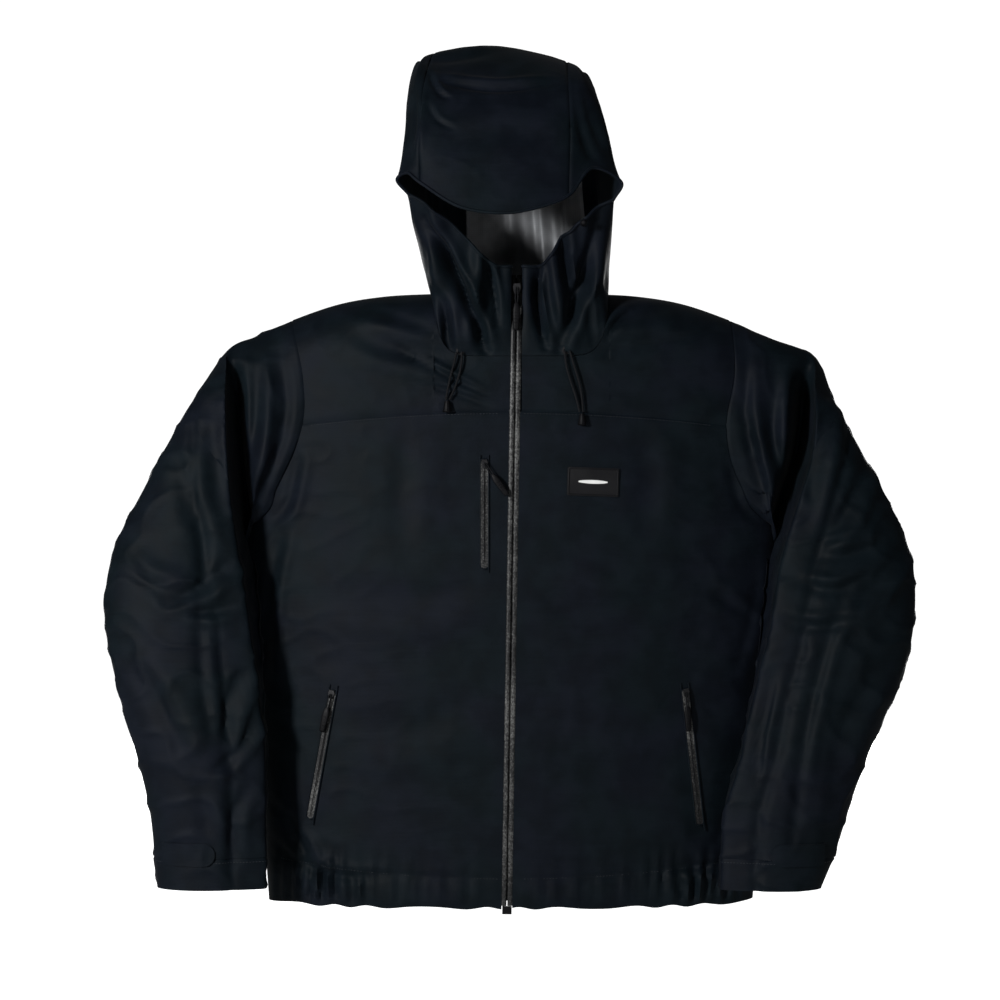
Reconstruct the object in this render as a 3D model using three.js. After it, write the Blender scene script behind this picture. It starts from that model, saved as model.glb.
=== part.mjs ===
// Hooded three-layer hardshell jacket, hanging by the loop inside its back neck.
// Millimetres, +Z up, the front faces -Y, +X is the wearer's left sleeve side.
// "left" and "right" in the names are as seen by someone facing the jacket's front.
import * as THREE from 'three';

// ---------------------------------------------------------------- driving dimensions
const fabric = 2;              // modelled thickness of the laminate
const sideGap = 2;             // half the gap between front and back along side and shoulder
const seamGap = 1.6;           // each panel stops this far short of a seam line
const midY = -45;              // mid-plane between the front and the back of the body
const frontDepth = 72;         // chest stands this far in front of the mid-plane
const backDepth = 62;          // back stands this far behind it
const shoulderRadius = 55;     // roundness of the shoulder line from front to back
const hemZ = -708;
const zipTapeWidth = 7;        // half width of a zip, teeth line to sewn edge
const armpitZ = -268;
const yokeZ = -131;            // yoke seam at the centre front
const yokeDrop = 15;           // how far that seam falls by the armhole
const neckCentreX = 12;
const neckHalfWidth = 102;
const neckFrontZ = -67;
const neckBackZ = -6;
const shoulderNeckZ = 11;
const chinZ = 37;              // top of the front zip
const zipTopX = 7;
const zipBottomX = -5;
const zipY = midY - frontDepth;
const elbowZ = -339;
const capShare = 0.5;          // share of the upper sleeve's rings that make the shaped cap
const cuffTopZ = -645;
const cuffZ = -681;

const palette = {
  shellFabric: { color: 0x161c25, roughness: 0.72, metalness: 0 },
  lining: { color: 0x9c9fa4, roughness: 0.4, metalness: 0.2 },
  coatedTape: { color: 0x55585c, roughness: 0.3, metalness: 0 },
  moulded: { color: 0x15161a, roughness: 0.5, metalness: 0 },
  metalSlider: { color: 0x1b1c1f, roughness: 0.35, metalness: 0.9 },
  cord: { color: 0x121316, roughness: 0.8, metalness: 0 },
  rubber: { color: 0x3a3c40, roughness: 0.6, metalness: 0 },
};

const jacket = new THREE.Group();

function addPart(name, finish, geometry, place = [0, 0, 0]) {
  const mesh = new THREE.Mesh(geometry, new THREE.MeshStandardMaterial(palette[finish]));
  mesh.name = name;
  mesh.position.set(...place);
  jacket.add(mesh);
  return mesh;
}

// ---------------------------------------------------------------- small mathematics
const mix = THREE.MathUtils.lerp;
const clamp01 = (value) => THREE.MathUtils.clamp(value, 0, 1);

/** A point given from the body's mid-plane: x across, y forward (-) or back (+), z up. */
const at = (x, y, z) => new THREE.Vector3(x, midY + y, z);

/** Smooth value at a position along hand-set stations [position, value], in rising order. */
function stations(list) {
  const slope = list.map((_, i) => {
    const before = list[Math.max(i - 1, 0)];
    const after = list[Math.min(i + 1, list.length - 1)];
    return (after[1] - before[1]) / (after[0] - before[0]);
  });
  return (position) => {
    let i = 0;
    while (i < list.length - 2 && position > list[i + 1][0]) i += 1;
    const [from, to] = [list[i], list[i + 1]];
    const span = to[0] - from[0];
    const t = clamp01((position - from[0]) / span);
    const t2 = t * t;
    const t3 = t2 * t;
    return from[1] * (2 * t3 - 3 * t2 + 1) + to[1] * (3 * t2 - 2 * t3)
      + span * (slope[i] * (t3 - 2 * t2 + t) + slope[i + 1] * (t3 - t2));
  };
}

/**
 * Closed fabric shell under a surface: outer skin, inner skin and the rim between them.
 * surface(u, v) gives the outer skin; the inside of the garment is on the side of `inside`.
 * With `round` the u direction closes on itself, so only the two ends have a rim.
 */
function shellGeometry(surface, columns, rows, inside, { thickness = fabric, round = false } = {}) {
  const step = 1e-3;
  const across = round ? columns : columns + 1;
  const skins = [[], []];
  for (let j = 0; j <= rows; j += 1) {
    for (let i = 0; i < across; i += 1) {
      const u = i / columns;
      const v = j / rows;
      const uEnd = round ? u + step : Math.min(u + step, 1);
      const uStart = round ? u - step : Math.max(u - step, 0);
      const alongU = surface(uEnd, v).sub(surface(uStart, v));
      const alongV = surface(u, Math.min(v + step, 1)).sub(surface(u, Math.max(v - step, 0)));
      const point = surface(u, v);
      const normal = alongU.cross(alongV).normalize();
      skins[0].push(point);
      skins[1].push(normal);
    }
  }
  const middle = skins[0].length >> 1;
  const facesOut = skins[1][middle].dot(skins[0][middle].clone().sub(inside)) > 0 ? 1 : -1;
  const positions = [];
  skins[0].forEach((point) => positions.push(point.x, point.y, point.z));
  skins[0].forEach((point, i) => {
    const inner = point.clone().addScaledVector(skins[1][i], -facesOut * thickness);
    positions.push(inner.x, inner.y, inner.z);
  });
  const count = skins[0].length;
  const faces = [];
  const quad = (a, b, c, d) => (facesOut > 0 ? faces.push(a, b, c, a, c, d) : faces.push(a, c, b, a, d, c));
  const outer = (i, j) => j * across + (i % across);
  const inner = (i, j) => count + outer(i, j);
  for (let j = 0; j < rows; j += 1) {
    for (let i = 0; i < columns; i += 1) {
      quad(outer(i, j), outer(i + 1, j), outer(i + 1, j + 1), outer(i, j + 1));
      quad(inner(i, j), inner(i, j + 1), inner(i + 1, j + 1), inner(i + 1, j));
    }
    if (!round) {
      quad(outer(0, j), outer(0, j + 1), inner(0, j + 1), inner(0, j));
      quad(outer(columns, j + 1), outer(columns, j), inner(columns, j), inner(columns, j + 1));
    }
  }
  for (let i = 0; i < columns; i += 1) {
    quad(outer(i + 1, 0), outer(i, 0), inner(i, 0), inner(i + 1, 0));
    quad(outer(i, rows), outer(i + 1, rows), inner(i + 1, rows), inner(i, rows));
  }
  const geometry = new THREE.BufferGeometry();
  geometry.setAttribute('position', new THREE.Float32BufferAttribute(positions, 3));
  geometry.setIndex(faces);
  return geometry;
}

/** Bar of a flat outline swept along a straight or curved path. */
function sweep(outline, path, steps) {
  return new THREE.ExtrudeGeometry(outline, { steps, bevelEnabled: false, extrudePath: path });
}

/** Plate cut to an outline drawn in X-Y, `depth` thick towards +Z. */
function plate(outline, depth, curveSegments = 6) {
  return new THREE.ExtrudeGeometry(outline, { depth, bevelEnabled: false, curveSegments });
}

/** Rectangle with round corners, centred on the origin. */
function roundedOutline(width, height, radius) {
  const shape = new THREE.Shape();
  const [x, y] = [width / 2 - radius, height / 2 - radius];
  shape.absarc(x, y, radius, 0, Math.PI / 2);
  shape.absarc(-x, y, radius, Math.PI / 2, Math.PI);
  shape.absarc(-x, -y, radius, Math.PI, Math.PI * 1.5);
  shape.absarc(x, -y, radius, Math.PI * 1.5, Math.PI * 2);
  return shape;
}

function circleOutline(radius, sides) {
  const corners = Array.from({ length: sides }, (_, i) => {
    const angle = (2 * Math.PI * i) / sides;
    return new THREE.Vector2(radius * Math.cos(angle), radius * Math.sin(angle));
  });
  return new THREE.Shape(corners);
}

// ---------------------------------------------------------------- body of the jacket
const shoulderZ = stations([[0, 12], [95, 11], [150, 8], [200, 0], [260, -20], [325, -48]]);
const sideX = stations([[hemZ, 288], [-600, 296], [-450, 303], [-330, 308], [armpitZ, 311]]);
const armholeX = {
  left: stations([[armpitZ, 311], [-252, 290], [-221, 275], [-173, 252], [-132, 242], [-96, 243], [-20, 259]]),
  right: stations([[armpitZ, 311], [-250, 289], [-218, 270], [-186, 257], [-149, 252], [-84, 262], [-20, 259]]),
};
const sign = { left: -1, right: 1 };

const zipX = (z) => mix(zipTopX, zipBottomX, (chinZ - z) / (chinZ - hemZ));

/** Edge of the front or back at a height: the side seam, and above it the armhole. */
const edgeX = (side, z) => (z < armpitZ ? sideX(z) : armholeX[side](z));

/** How far the body stands off its mid-plane at (x, z), as a share of its full depth. */
function fullness(x, z) {
  const across = Math.min(Math.abs(x) / Math.max(sideX(Math.min(z, armpitZ)), Math.abs(x)), 1);
  const below = clamp01((shoulderZ(Math.abs(x)) - z) / shoulderRadius);
  return (1 - across ** 2.4) ** 0.55 * Math.sqrt(1 - (1 - below) ** 2);
}

const frontPoint = (x, z) => at(x, -sideGap - (frontDepth - sideGap) * fullness(x, z), z);
const backPoint = (x, z) => at(x, sideGap + (backDepth - sideGap) * fullness(x, z), z);
const bodyMiddle = at(0, 0, -350);
const seamStart = 0.03;   // share of a panel left free at the seam on its own edge

/** Main front panel from the zip to the side seam and armhole, hem to yoke seam. */
function frontPanel(side) {
  return shellGeometry((u, v) => {
    const z = mix(hemZ, yokeZ - yokeDrop * 0.5 - seamGap, v);
    const inner = zipX(z) + sign[side] * zipTapeWidth;
    const outer = sign[side] * edgeX(side, z);
    const x = mix(inner, outer, Math.sin(u * (1 - seamStart) * Math.PI / 2));
    const drop = yokeDrop * (0.5 - (x / 250) ** 2) * v ** 4;
    return frontPoint(x, z + drop);
  }, 10, 10, bodyMiddle);
}

const neckFront = (x) => {
  const share = Math.min(Math.abs(x - neckCentreX) / neckHalfWidth, 1);
  return mix(neckFrontZ, shoulderNeckZ, 1 - Math.sqrt(1 - share ** 4));
};
const neckBack = (x) => {
  const share = Math.min(Math.abs(x - neckCentreX) / neckHalfWidth, 1);
  return mix(neckBackZ, shoulderNeckZ, share ** 2);
};

/** Top edge of a yoke: the neck seam, and outside it the shoulder seam. */
function yokeTop(x, neck) {
  const beside = Math.abs(x - neckCentreX) >= neckHalfWidth;
  return Math.min(beside ? shoulderNeckZ : neck(x), shoulderZ(Math.abs(x))) - sideGap;
}

function frontYoke(side) {
  return shellGeometry((u, v) => {
    const inner = zipX(yokeZ) + sign[side] * zipTapeWidth;
    const x = mix(inner, sign[side] * (armholeX[side](-80) - 2 * seamGap), u);
    const low = yokeZ - yokeDrop * (x / 250) ** 2 + seamGap;
    const height = Math.sin(v * Math.PI / 2);
    const z = mix(low, yokeTop(x, neckFront) - seamGap, height);
    const spread = mix(armholeX[side](z) / armholeX[side](-80), 1, 0.2);
    return frontPoint(mix(x + zipX(z) - zipX(yokeZ), x * spread, u), z);
  }, 10, 6, bodyMiddle);
}

function backPanel() {
  return shellGeometry((u, v) => {
    const z = mix(hemZ, yokeZ - yokeDrop, v);
    const share = Math.sin((2 * u - 1) * (1 - seamStart) * Math.PI / 2);
    const side = share < 0 ? 'left' : 'right';
    return backPoint(share * edgeX(side, z), z);
  }, 16, 10, bodyMiddle);
}

function backYoke() {
  return shellGeometry((u, v) => {
    const share = 2 * u - 1;
    const side = share < 0 ? 'left' : 'right';
    const x = share * (armholeX[side](-80) - 2 * seamGap);
    const top = yokeTop(x, neckBack) - seamGap;
    const z = mix(yokeZ - yokeDrop + 2 * seamGap, top, Math.sin(v * Math.PI / 2));
    const spread = mix(armholeX[side](z) / armholeX[side](-80), 1, 0.2);
    return backPoint(mix(x, x * spread, Math.abs(share)), z);
  }, 16, 6, bodyMiddle);
}

// ---------------------------------------------------------------- collar and hood
const curve = (...points) => new THREE.CatmullRomCurve3(points, false, 'centripetal');

/** Fabric patch stretched between four seams, bulged outward by `bulge` at its middle. */
function patch(bottom, top, start, end, bulge) {
  return (u, v) => {
    const side = start.getPoint(v).lerp(end.getPoint(v), u);
    const rise = bottom.getPoint(u).lerp(top.getPoint(u), v);
    const low = bottom.getPoint(0).lerp(bottom.getPoint(1), u);
    const high = top.getPoint(0).lerp(top.getPoint(1), u);
    const swell = 16 * u * (1 - u) * v * (1 - v);
    return side.add(rise).sub(low.lerp(high, v)).addScaledVector(bulge, swell);
  };
}

/** Runs a patch over only part of its square, to leave the gap at its seams. */
const trimmed = (surface, share) => (u, v) => surface(mix(share, 1 - share, u), mix(share, 1 - share, v));

const neckPoint = {
  left: at(-90, -6, 12),
  right: at(114, -6, 9),
};
const flange = {
  left: at(-119, -98, 118),
  right: at(119, -96, 116),
};

function collar(side) {
  const s = sign[side];
  const zip = s * zipTapeWidth;
  const chin = at(zipX(chinZ) + zip, -frontDepth - 1, chinZ);
  const root = at(zipX(neckFrontZ) + zip, -frontDepth - 1, neckFrontZ + 4);
  const bottom = curve(root, at(neckCentreX + s * 60, -62, -60),
    at(neckCentreX + s * 92, -38, -26), neckPoint[side]);
  const opening = curve(chin, at(neckCentreX + s * 44, -88, 62),
    at(neckCentreX + s * 82, -98, 90), flange[side]);
  const front = curve(root, root.clone().lerp(chin, 0.5), chin);
  const back = curve(neckPoint[side], neckPoint[side].clone().lerp(flange[side], 0.5), flange[side]);
  const surface = patch(bottom, opening, front, back, new THREE.Vector3(s * 4, -6, 0));
  return shellGeometry(trimmed(surface, 0.035), 8, 6, at(neckCentreX, 0, 40));
}

const brimCorner = { left: at(-117, -120, 141), right: at(82, -120, 140) };
const crownTop = { left: at(-96, -20, 290), right: at(66, -20, 286) };
const crownSeam = {
  left: curve(brimCorner.left, at(-106, -108, 190), at(-98, -70, 256), crownTop.left,
    at(-84, 38, 268), at(-62, 68, 180), at(-48, 50, 14)),
  right: curve(brimCorner.right, at(76, -108, 190), at(70, -70, 254), crownTop.right,
    at(66, 38, 266), at(60, 68, 180), at(66, 50, 14)),
};

/** Middle strip of the hood: from the brim over the crown and down to the back neck. */
const crownRise = 12;        // the middle of the strip stands this far above its two seams
const peakDrop = 44;         // the front edge hangs this far below the line of its corners
const peakReach = 10;
function hoodCentreSurface(u, v) {
  const left = crownSeam.left.getPoint(v);
  const right = crownSeam.right.getPoint(v);
  const arch = 4 * u * (1 - u);
  const peak = (1 - v) ** 5 * arch;
  const rise = crownRise * arch * Math.sin(Math.PI * v) - peakDrop * peak;
  const roundness = mix(-8, 8, v) * arch - peakReach * peak;
  return left.lerp(right, u).add(new THREE.Vector3(0, roundness, rise));
}

function hoodCentre() {
  const surface = (u, v) => hoodCentreSurface(mix(0.012, 0.988, u), mix(0.02, 0.985, v));
  return shellGeometry(surface, 8, 14, at(0, 0, 150));
}

/** Side of the hood: from the crown seam down to the face opening, collar and back neck. */
function hoodSide(side) {
  const s = sign[side];
  const low = curve(flange[side], flange[side].clone().lerp(neckPoint[side], 0.5), neckPoint[side],
    at(neckCentreX + s * 86, 30, 13), at(neckCentreX + s * 64, 48, 13));
  const brow = curve(flange[side],
    flange[side].clone().lerp(brimCorner[side], 0.5).setY(midY - 112), brimCorner[side]);
  const nape = curve(low.getPoint(1), crownSeam[side].getPoint(1));
  const surface = patch(low, crownSeam[side], brow, nape, new THREE.Vector3(s * 22, 6, 0));
  return shellGeometry(trimmed(surface, 0.022), 10, 8, at(neckCentreX, 0, 150));
}

/** Stiffener of the peak, just behind the front edge of the hood. */
function brim() {
  const behind = new THREE.Vector3(0, 5, 0);
  const surface = (u, v) => hoodCentreSurface(mix(0.03, 0.97, u), mix(0.03, 0.12, v)).add(behind);
  return shellGeometry(surface, 14, 2, at(0, 0, 120), { thickness: 1.5 });
}

// ---------------------------------------------------------------- sleeves
/**
 * Rings down each sleeve, from the armhole to the cuff:
 * [outer x, outer z, inner x, inner z, centre behind (+) or before (-) mid-plane, half depth, bow].
 */
const sleeveRings = {
  left: [
    [264, -24, 317, -272, 0, 45, 34],
    [300, -39, 318, -279, -4, 49, 20],
    [337, -57, 318, -288, -10, 53, 8],
    [377, -120, 318, -298, -16, 55, 0],
    [427, -211, 316, -312, -26, 54, 0],
    [462, -281, 313, -325, -37, 50, 0],
    [474, elbowZ + 1, 309, elbowZ + 1, -46, 48, 0],
  ],
  right: [
    [268, -26, 318, -272, 0, 45, 24],
    [310, -42, 318, -279, -4, 49, 20],
    [360, -67, 318, -288, -10, 53, 8],
    [387, -128, 318, -298, -16, 55, 0],
    [430, -211, 318, -312, -26, 54, 0],
    [461, -281, 316, -325, -37, 50, 0],
    [471, elbowZ + 1, 312, elbowZ + 1, -46, 48, 0],
  ],
};
const forearmRings = {
  left: [
    [475, elbowZ - 2, 308, elbowZ - 2, -46, 48, 0],
    [470, -400, 301, -400, -51, 46, 0],
    [457, -455, 295, -455, -55, 45, 0],
    [437, -520, 288, -520, -58, 44, 0],
    [421, -585, 287, -585, -60, 42, 0],
    [414, cuffTopZ + 1, 287, cuffTopZ + 1, -61, 40, 0],
  ],
  right: [
    [471, elbowZ - 2, 312, elbowZ - 2, -46, 48, 0],
    [466, -400, 298, -400, -51, 46, 0],
    [449, -455, 283, -455, -55, 45, 0],
    [419, -520, 268, -520, -60, 44, 0],
    [394, -585, 250, -585, -64, 42, 0],
    [374, cuffTopZ + 1, 246, cuffTopZ + 1, -66, 40, 0],
  ],
};
const cuffRings = {
  left: [[414, cuffTopZ - 1, 287, cuffTopZ - 1, -61, 40, 0], [410, cuffZ, 287, cuffZ, -62, 40, 0]],
  right: [[373, cuffTopZ - 1, 245, cuffTopZ - 1, -66, 40, 0], [359, cuffZ, 245, cuffZ, -67, 40, 0]],
};

/** Tube of fabric through a list of rings, or the part of it between two shares of its length. */
function sleeveTube(side, rings, columns, rows, [from, to] = [0, 1]) {
  const tracks = rings[0].map((_, k) => stations(rings.map((ring, i) => [i, ring[k]])));
  const surface = (u, v) => {
    const place = mix(from, to, v) * (rings.length - 1);
    const [outX, outZ, inX, inZ, y, depth, bow] = tracks.map((track) => track(place));
    const angle = 2 * Math.PI * u;
    const share = 0.5 + 0.5 * Math.cos(angle);
    const swell = Math.sign(Math.sin(angle)) * Math.abs(Math.sin(angle)) ** 0.85;
    const x = mix(inX, outX, share) - bow * Math.sin(angle) ** 2;
    return at(sign[side] * x, y - depth * swell, mix(inZ, outZ, share));
  };
  const middle = surface(0, 0.5).lerp(surface(0.5, 0.5), 0.5);
  return shellGeometry(surface, columns, rows, middle, { round: true });
}

/** Hook-and-loop tab lying on the front of a cuff, sewn at its outer end, round at the other. */
const cuffTab = { sewnEdge: 9, length: 62, height: 26, z: -640, proud: 3.2 };
const cuffOutline = {
  left: { outer: 414, inner: 287, y: -61, depth: 40 },
  right: { outer: 378, inner: 247, y: -66, depth: 42 },
};
function cuffFront(side, x) {
  const { outer, inner, y, depth } = cuffOutline[side];
  const share = (x - inner) / (outer - inner);
  const swell = Math.sin(Math.acos(2 * share - 1)) ** 0.85;
  return at(sign[side] * x, y - (depth + cuffTab.proud) * swell - cuffTab.proud, 0);
}
function cuffTabGeometry(side) {
  const { sewnEdge, length, height, z } = cuffTab;
  const roundPart = height / 2 / length;
  return shellGeometry((u, v) => {
    const point = cuffFront(side, cuffOutline[side].outer - sewnEdge - u * length);
    const past = Math.max(u - 1 + roundPart, 0) / roundPart;
    const half = (height / 2) * Math.sqrt(1 - 0.94 * past ** 2);
    return point.setZ(z + mix(-half, half, v));
  }, 12, 2, at(sign[side] * cuffOutline[side].inner, 0, z), { thickness: 1.4 });
}

// ---------------------------------------------------------------- zips
const tape = { halfWidth: zipTapeWidth - 0.5, thickness: 1.2, coil: 2.2, coilHeight: 1 };
const slider = { width: 9, length: 12, thickness: 2.6, lift: 1.2 };

/** One half of a zip's section: coated tape with the coil standing on its inner edge. */
function zipHalf(s) {
  const outline = new THREE.Shape();
  const coilTop = tape.thickness + tape.coilHeight;
  outline.moveTo(s * 0.2, 0);
  outline.lineTo(s * 0.2, coilTop);
  outline.lineTo(s * tape.coil, coilTop);
  outline.lineTo(s * tape.coil, tape.thickness);
  outline.lineTo(s * tape.halfWidth, tape.thickness);
  outline.lineTo(s * tape.halfWidth, 0);
  outline.closePath();
  return outline;
}

/** Places a piece so that its own Z runs from `low` to `high` and its own Y faces outward. */
function layAlong(mesh, low, high, outward, lift) {
  const up = high.clone().sub(low).normalize();
  const across = new THREE.Vector3().crossVectors(outward, up).normalize();
  const forward = new THREE.Vector3().crossVectors(up, across).normalize();
  const basis = new THREE.Matrix4().makeBasis(across, forward, up);
  mesh.quaternion.setFromRotationMatrix(basis);
  mesh.position.copy(low).addScaledVector(forward, lift);
}

/** Outward direction of the front of the jacket near a point. */
function frontNormal(x, z) {
  const reach = 4;
  const alongX = frontPoint(x + reach, z).sub(frontPoint(x - reach, z));
  const alongZ = frontPoint(x, z + reach).sub(frontPoint(x, z - reach));
  return alongX.cross(alongZ).normalize();
}

/** Slider: a shield-shaped block whose narrow end points down the zip. */
function sliderGeometry(scale) {
  const [w, l] = [slider.width * scale / 2, slider.length * scale];
  const outline = new THREE.Shape();
  outline.moveTo(-w * 0.8, 0);
  outline.lineTo(-w, -l * 0.35);
  outline.lineTo(-w * 0.65, -l);
  outline.lineTo(w * 0.65, -l);
  outline.lineTo(w, -l * 0.35);
  outline.lineTo(w * 0.8, 0);
  outline.closePath();
  return plate(outline, slider.thickness).rotateX(Math.PI / 2).translate(0, slider.thickness, 0);
}

/** Moulded pull with its cord loop, hanging from its hinge at the origin down its own -Z. */
function pullGeometry(length, width) {
  const neck = width * 0.28;
  const outline = new THREE.Shape();
  outline.moveTo(-neck, 0);
  outline.lineTo(-neck, -length * 0.35);
  outline.lineTo(-width / 2, -length * 0.45);
  outline.lineTo(-width * 0.42, -length + 2);
  outline.lineTo(-width * 0.25, -length);
  outline.lineTo(width * 0.25, -length);
  outline.lineTo(width * 0.42, -length + 2);
  outline.lineTo(width / 2, -length * 0.45);
  outline.lineTo(neck, -length * 0.35);
  outline.lineTo(neck, 0);
  outline.closePath();
  return plate(outline, 2.4).rotateX(Math.PI / 2).translate(0, 2.4, 0);
}

const zipLean = (zipTopX - zipBottomX) / (chinZ - hemZ);
const mainSliderZ = 17;
const mainZip = {
  top: new THREE.Vector3(zipX(chinZ - 4), zipY, chinZ - 4),
  bottom: new THREE.Vector3(zipX(hemZ + 4), zipY, hemZ + 4),
  at: (z) => new THREE.Vector3(zipX(z), zipY, z),
};
mainZip.length = mainZip.top.distanceTo(mainZip.bottom);
const pullLift = slider.lift + slider.thickness + 0.4;
const pocketProud = 0.4;     // pocket zips lie on the fabric

/** Pocket zip with its tape, slider and pull; `lean` turns the pull off the zip's line. */
function pocketZip(name, [topX, topZ], [bottomX, bottomZ], lean) {
  const outward = frontNormal((topX + bottomX) / 2, (topZ + bottomZ) / 2);
  const top = frontPoint(topX, topZ);
  const bottom = frontPoint(bottomX, bottomZ);
  const length = top.distanceTo(bottom);
  const strip = roundedOutline(2 * tape.halfWidth * 0.72, length, tape.halfWidth * 0.7);
  const stripMesh = addPart(`${name}_zip`, 'coatedTape',
    plate(strip, tape.thickness, 4).rotateX(Math.PI / 2).translate(0, tape.thickness, length / 2));
  layAlong(stripMesh, bottom, top, outward, pocketProud + 0.3);
  const sliderMesh = addPart(`${name}_zip_slider`, 'metalSlider', sliderGeometry(0.8));
  layAlong(sliderMesh, bottom, top, outward, pocketProud + 0.3 + tape.thickness + 0.3);
  sliderMesh.position.add(top.clone().sub(bottom));
  const pullMesh = addPart(`${name}_zip_pull`, 'moulded', pullGeometry(46, 8));
  const pullLine = top.clone().sub(bottom).normalize().applyAxisAngle(outward, lean);
  const hinge = top.clone().addScaledVector(top.clone().sub(bottom).normalize(), -4);
  layAlong(pullMesh, hinge.clone().sub(pullLine), hinge, outward, pocketProud + 5);
  pullMesh.position.add(pullLine);
}

/** Flat bag hanging inside the front behind a pocket zip. */
function pocketBag(name, x, z, width, height, depth) {
  const bag = shellGeometry((u, v) => {
    const across = x + (u - 0.5) * width;
    const up = z + (v - 0.5) * height;
    return frontPoint(across, up).add(new THREE.Vector3(0, depth, 0));
  }, 6, 6, bodyMiddle, { thickness: 1.5 });
  addPart(name, 'lining', bag);
}

// ---------------------------------------------------------------- trim and cords
const drawcordDiameter = 2.6;
/** Route of each drawcord strand, from its eyelet down to the cord end. */
const drawcords = {
  left: {
    eyelet: [-59, -61],
    inner: [[-57, -62], [-57.5, -75], [-60.5, -90], [-66, -106], [-71.5, -118]],
    outer: [[-63, -62], [-66, -75], [-70, -90], [-73.5, -106], [-75.5, -118]],
    end: [-74, -119],
  },
  right: {
    eyelet: [64, -60],
    inner: [[62, -61], [64, -78], [69, -96], [75, -114], [79.5, -132]],
    outer: [[68, -61], [73, -78], [78.5, -96], [82, -114], [83.5, -132]],
    end: [82, -134],
  },
};

/** Point standing `proud` of the front surface. */
const proudPoint = ([x, z], proud) => frontPoint(x, z).addScaledVector(frontNormal(x, z), proud);

function strand(route) {
  const path = new THREE.CatmullRomCurve3(route.map((spot) => proudPoint(spot, 5)));
  return sweep(circleOutline(drawcordDiameter / 2, 8), path, 9);
}

/** Bell-shaped cord end, wide at its foot. */
function cordEndGeometry() {
  const profile = [[0, 0], [2.6, 0], [3.4, -3], [4.6, -9], [5.4, -12], [4.2, -13.5], [0, -13.5]];
  const points = profile.map(([r, z]) => new THREE.Vector2(r, z)).reverse();
  return new THREE.LatheGeometry(points, 12).rotateX(Math.PI / 2);
}

function eyeletGeometry() {
  const ring = [[2.6, 0], [5, 0], [5, 1], [2.6, 1.4], [2.6, 0]].map(([r, y]) => new THREE.Vector2(r, y));
  return new THREE.LatheGeometry(ring, 16);
}

/** Flat placket behind the front zip, as wide as the finger that would slip in beside it. */
const stormFlapWidth = 34;
function stormFlap() {
  const outline = roundedOutline(stormFlapWidth, mainZip.length - 10, 5);
  const flap = plate(outline, 1.5, 3).rotateX(Math.PI / 2).translate(0, zipY + 5.5, (chinZ + hemZ) / 2);
  return flap.applyMatrix4(new THREE.Matrix4().makeShear(0, 0, 0, 0, zipLean, 0)).translate(zipX(0), 0, 0);
}

/** Soft guard round the top end of the zip, on the inside of the collar. */
function chinGuard() {
  return plate(roundedOutline(40, 34, 6), 1.5, 3).rotateX(Math.PI / 2)
    .translate(zipTopX, zipY + 9, chinZ - 19);
}

const hemLock = { x: 262, z: hemZ + 22, width: 16, depth: 12, height: 18, travel: 4 };

/** Body of a cord lock: a box with a well for its button, open at the top. */
function lockBody() {
  const { width, depth, height } = hemLock;
  const well = 4.4;
  const profile = [[0, 0], [width / 2, 0], [width / 2, height], [well, height], [well, 6], [0, 6]];
  const turned = profile.map(([r, y]) => new THREE.Vector2(r, y));
  return new THREE.LatheGeometry(turned, 16).rotateX(Math.PI / 2).scale(1, depth / width, 1)
    .translate(0, 0, -height / 2);
}

/** Plunger of a cord lock, standing out of the well by its travel and a fingertip's worth. */
function lockButton() {
  const { height, travel, depth, width } = hemLock;
  const low = 6 + travel + 0.5;
  const high = height + travel + 3;
  const profile = [[0, low], [3.9, low], [3.9, high - 1], [3, high], [0, high]];
  return new THREE.LatheGeometry(profile.map(([r, y]) => new THREE.Vector2(r, y)), 14)
    .rotateX(Math.PI / 2).scale(1, depth / width, 1).translate(0, 0, -height / 2);
}

/** Cord running inside the back hem from one lock to the other. */
function hemCord() {
  const ends = 238;
  const stops = 14;
  const spots = Array.from({ length: stops + 1 }, (_, i) => {
    const x = mix(-ends, ends, i / stops);
    return backPoint(x, hemZ + 12).add(new THREE.Vector3(0, -7, 0));
  });
  return sweep(circleOutline(1.5, 6), new THREE.CatmullRomCurve3(spots), 24);
}

/** Loop of flat tape inside the back neck, with its middle at the origin. */
function hangLoop() {
  const arch = [[-32, -3, -13], [-24, -5, -6], [-10, -6, -1.5], [10, -6, -1.5], [24, -5, -6], [32, -3, -13]];
  const path = curve(...arch.map((spot) => new THREE.Vector3(...spot)));
  return sweep(roundedOutline(2, 7, 0.8), path, 14);
}

// ---------------------------------------------------------------- assembly
for (const side of ['left', 'right']) {
  addPart(`${side}_front_panel`, 'shellFabric', frontPanel(side));
  addPart(`${side}_front_yoke`, 'shellFabric', frontYoke(side));
  addPart(`${side}_collar`, 'shellFabric', collar(side));
  addPart(`${side}_hood_side`, 'shellFabric', hoodSide(side));
  addPart(`${side}_sleeve_cap`, 'shellFabric', sleeveTube(side, sleeveRings[side], 16, 4, [0, capShare - 0.01]));
  addPart(`${side}_upper_sleeve`, 'shellFabric', sleeveTube(side, sleeveRings[side], 16, 4, [capShare, 1]));
  addPart(`${side}_forearm`, 'shellFabric', sleeveTube(side, forearmRings[side], 16, 6));
  addPart(`${side}_cuff`, 'shellFabric', sleeveTube(side, cuffRings[side], 16, 1));
}
addPart('back_panel', 'shellFabric', backPanel());
addPart('back_yoke', 'shellFabric', backYoke());
addPart('hood_centre_panel', 'shellFabric', hoodCentre());
addPart('hood_brim', 'shellFabric', brim());

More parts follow.
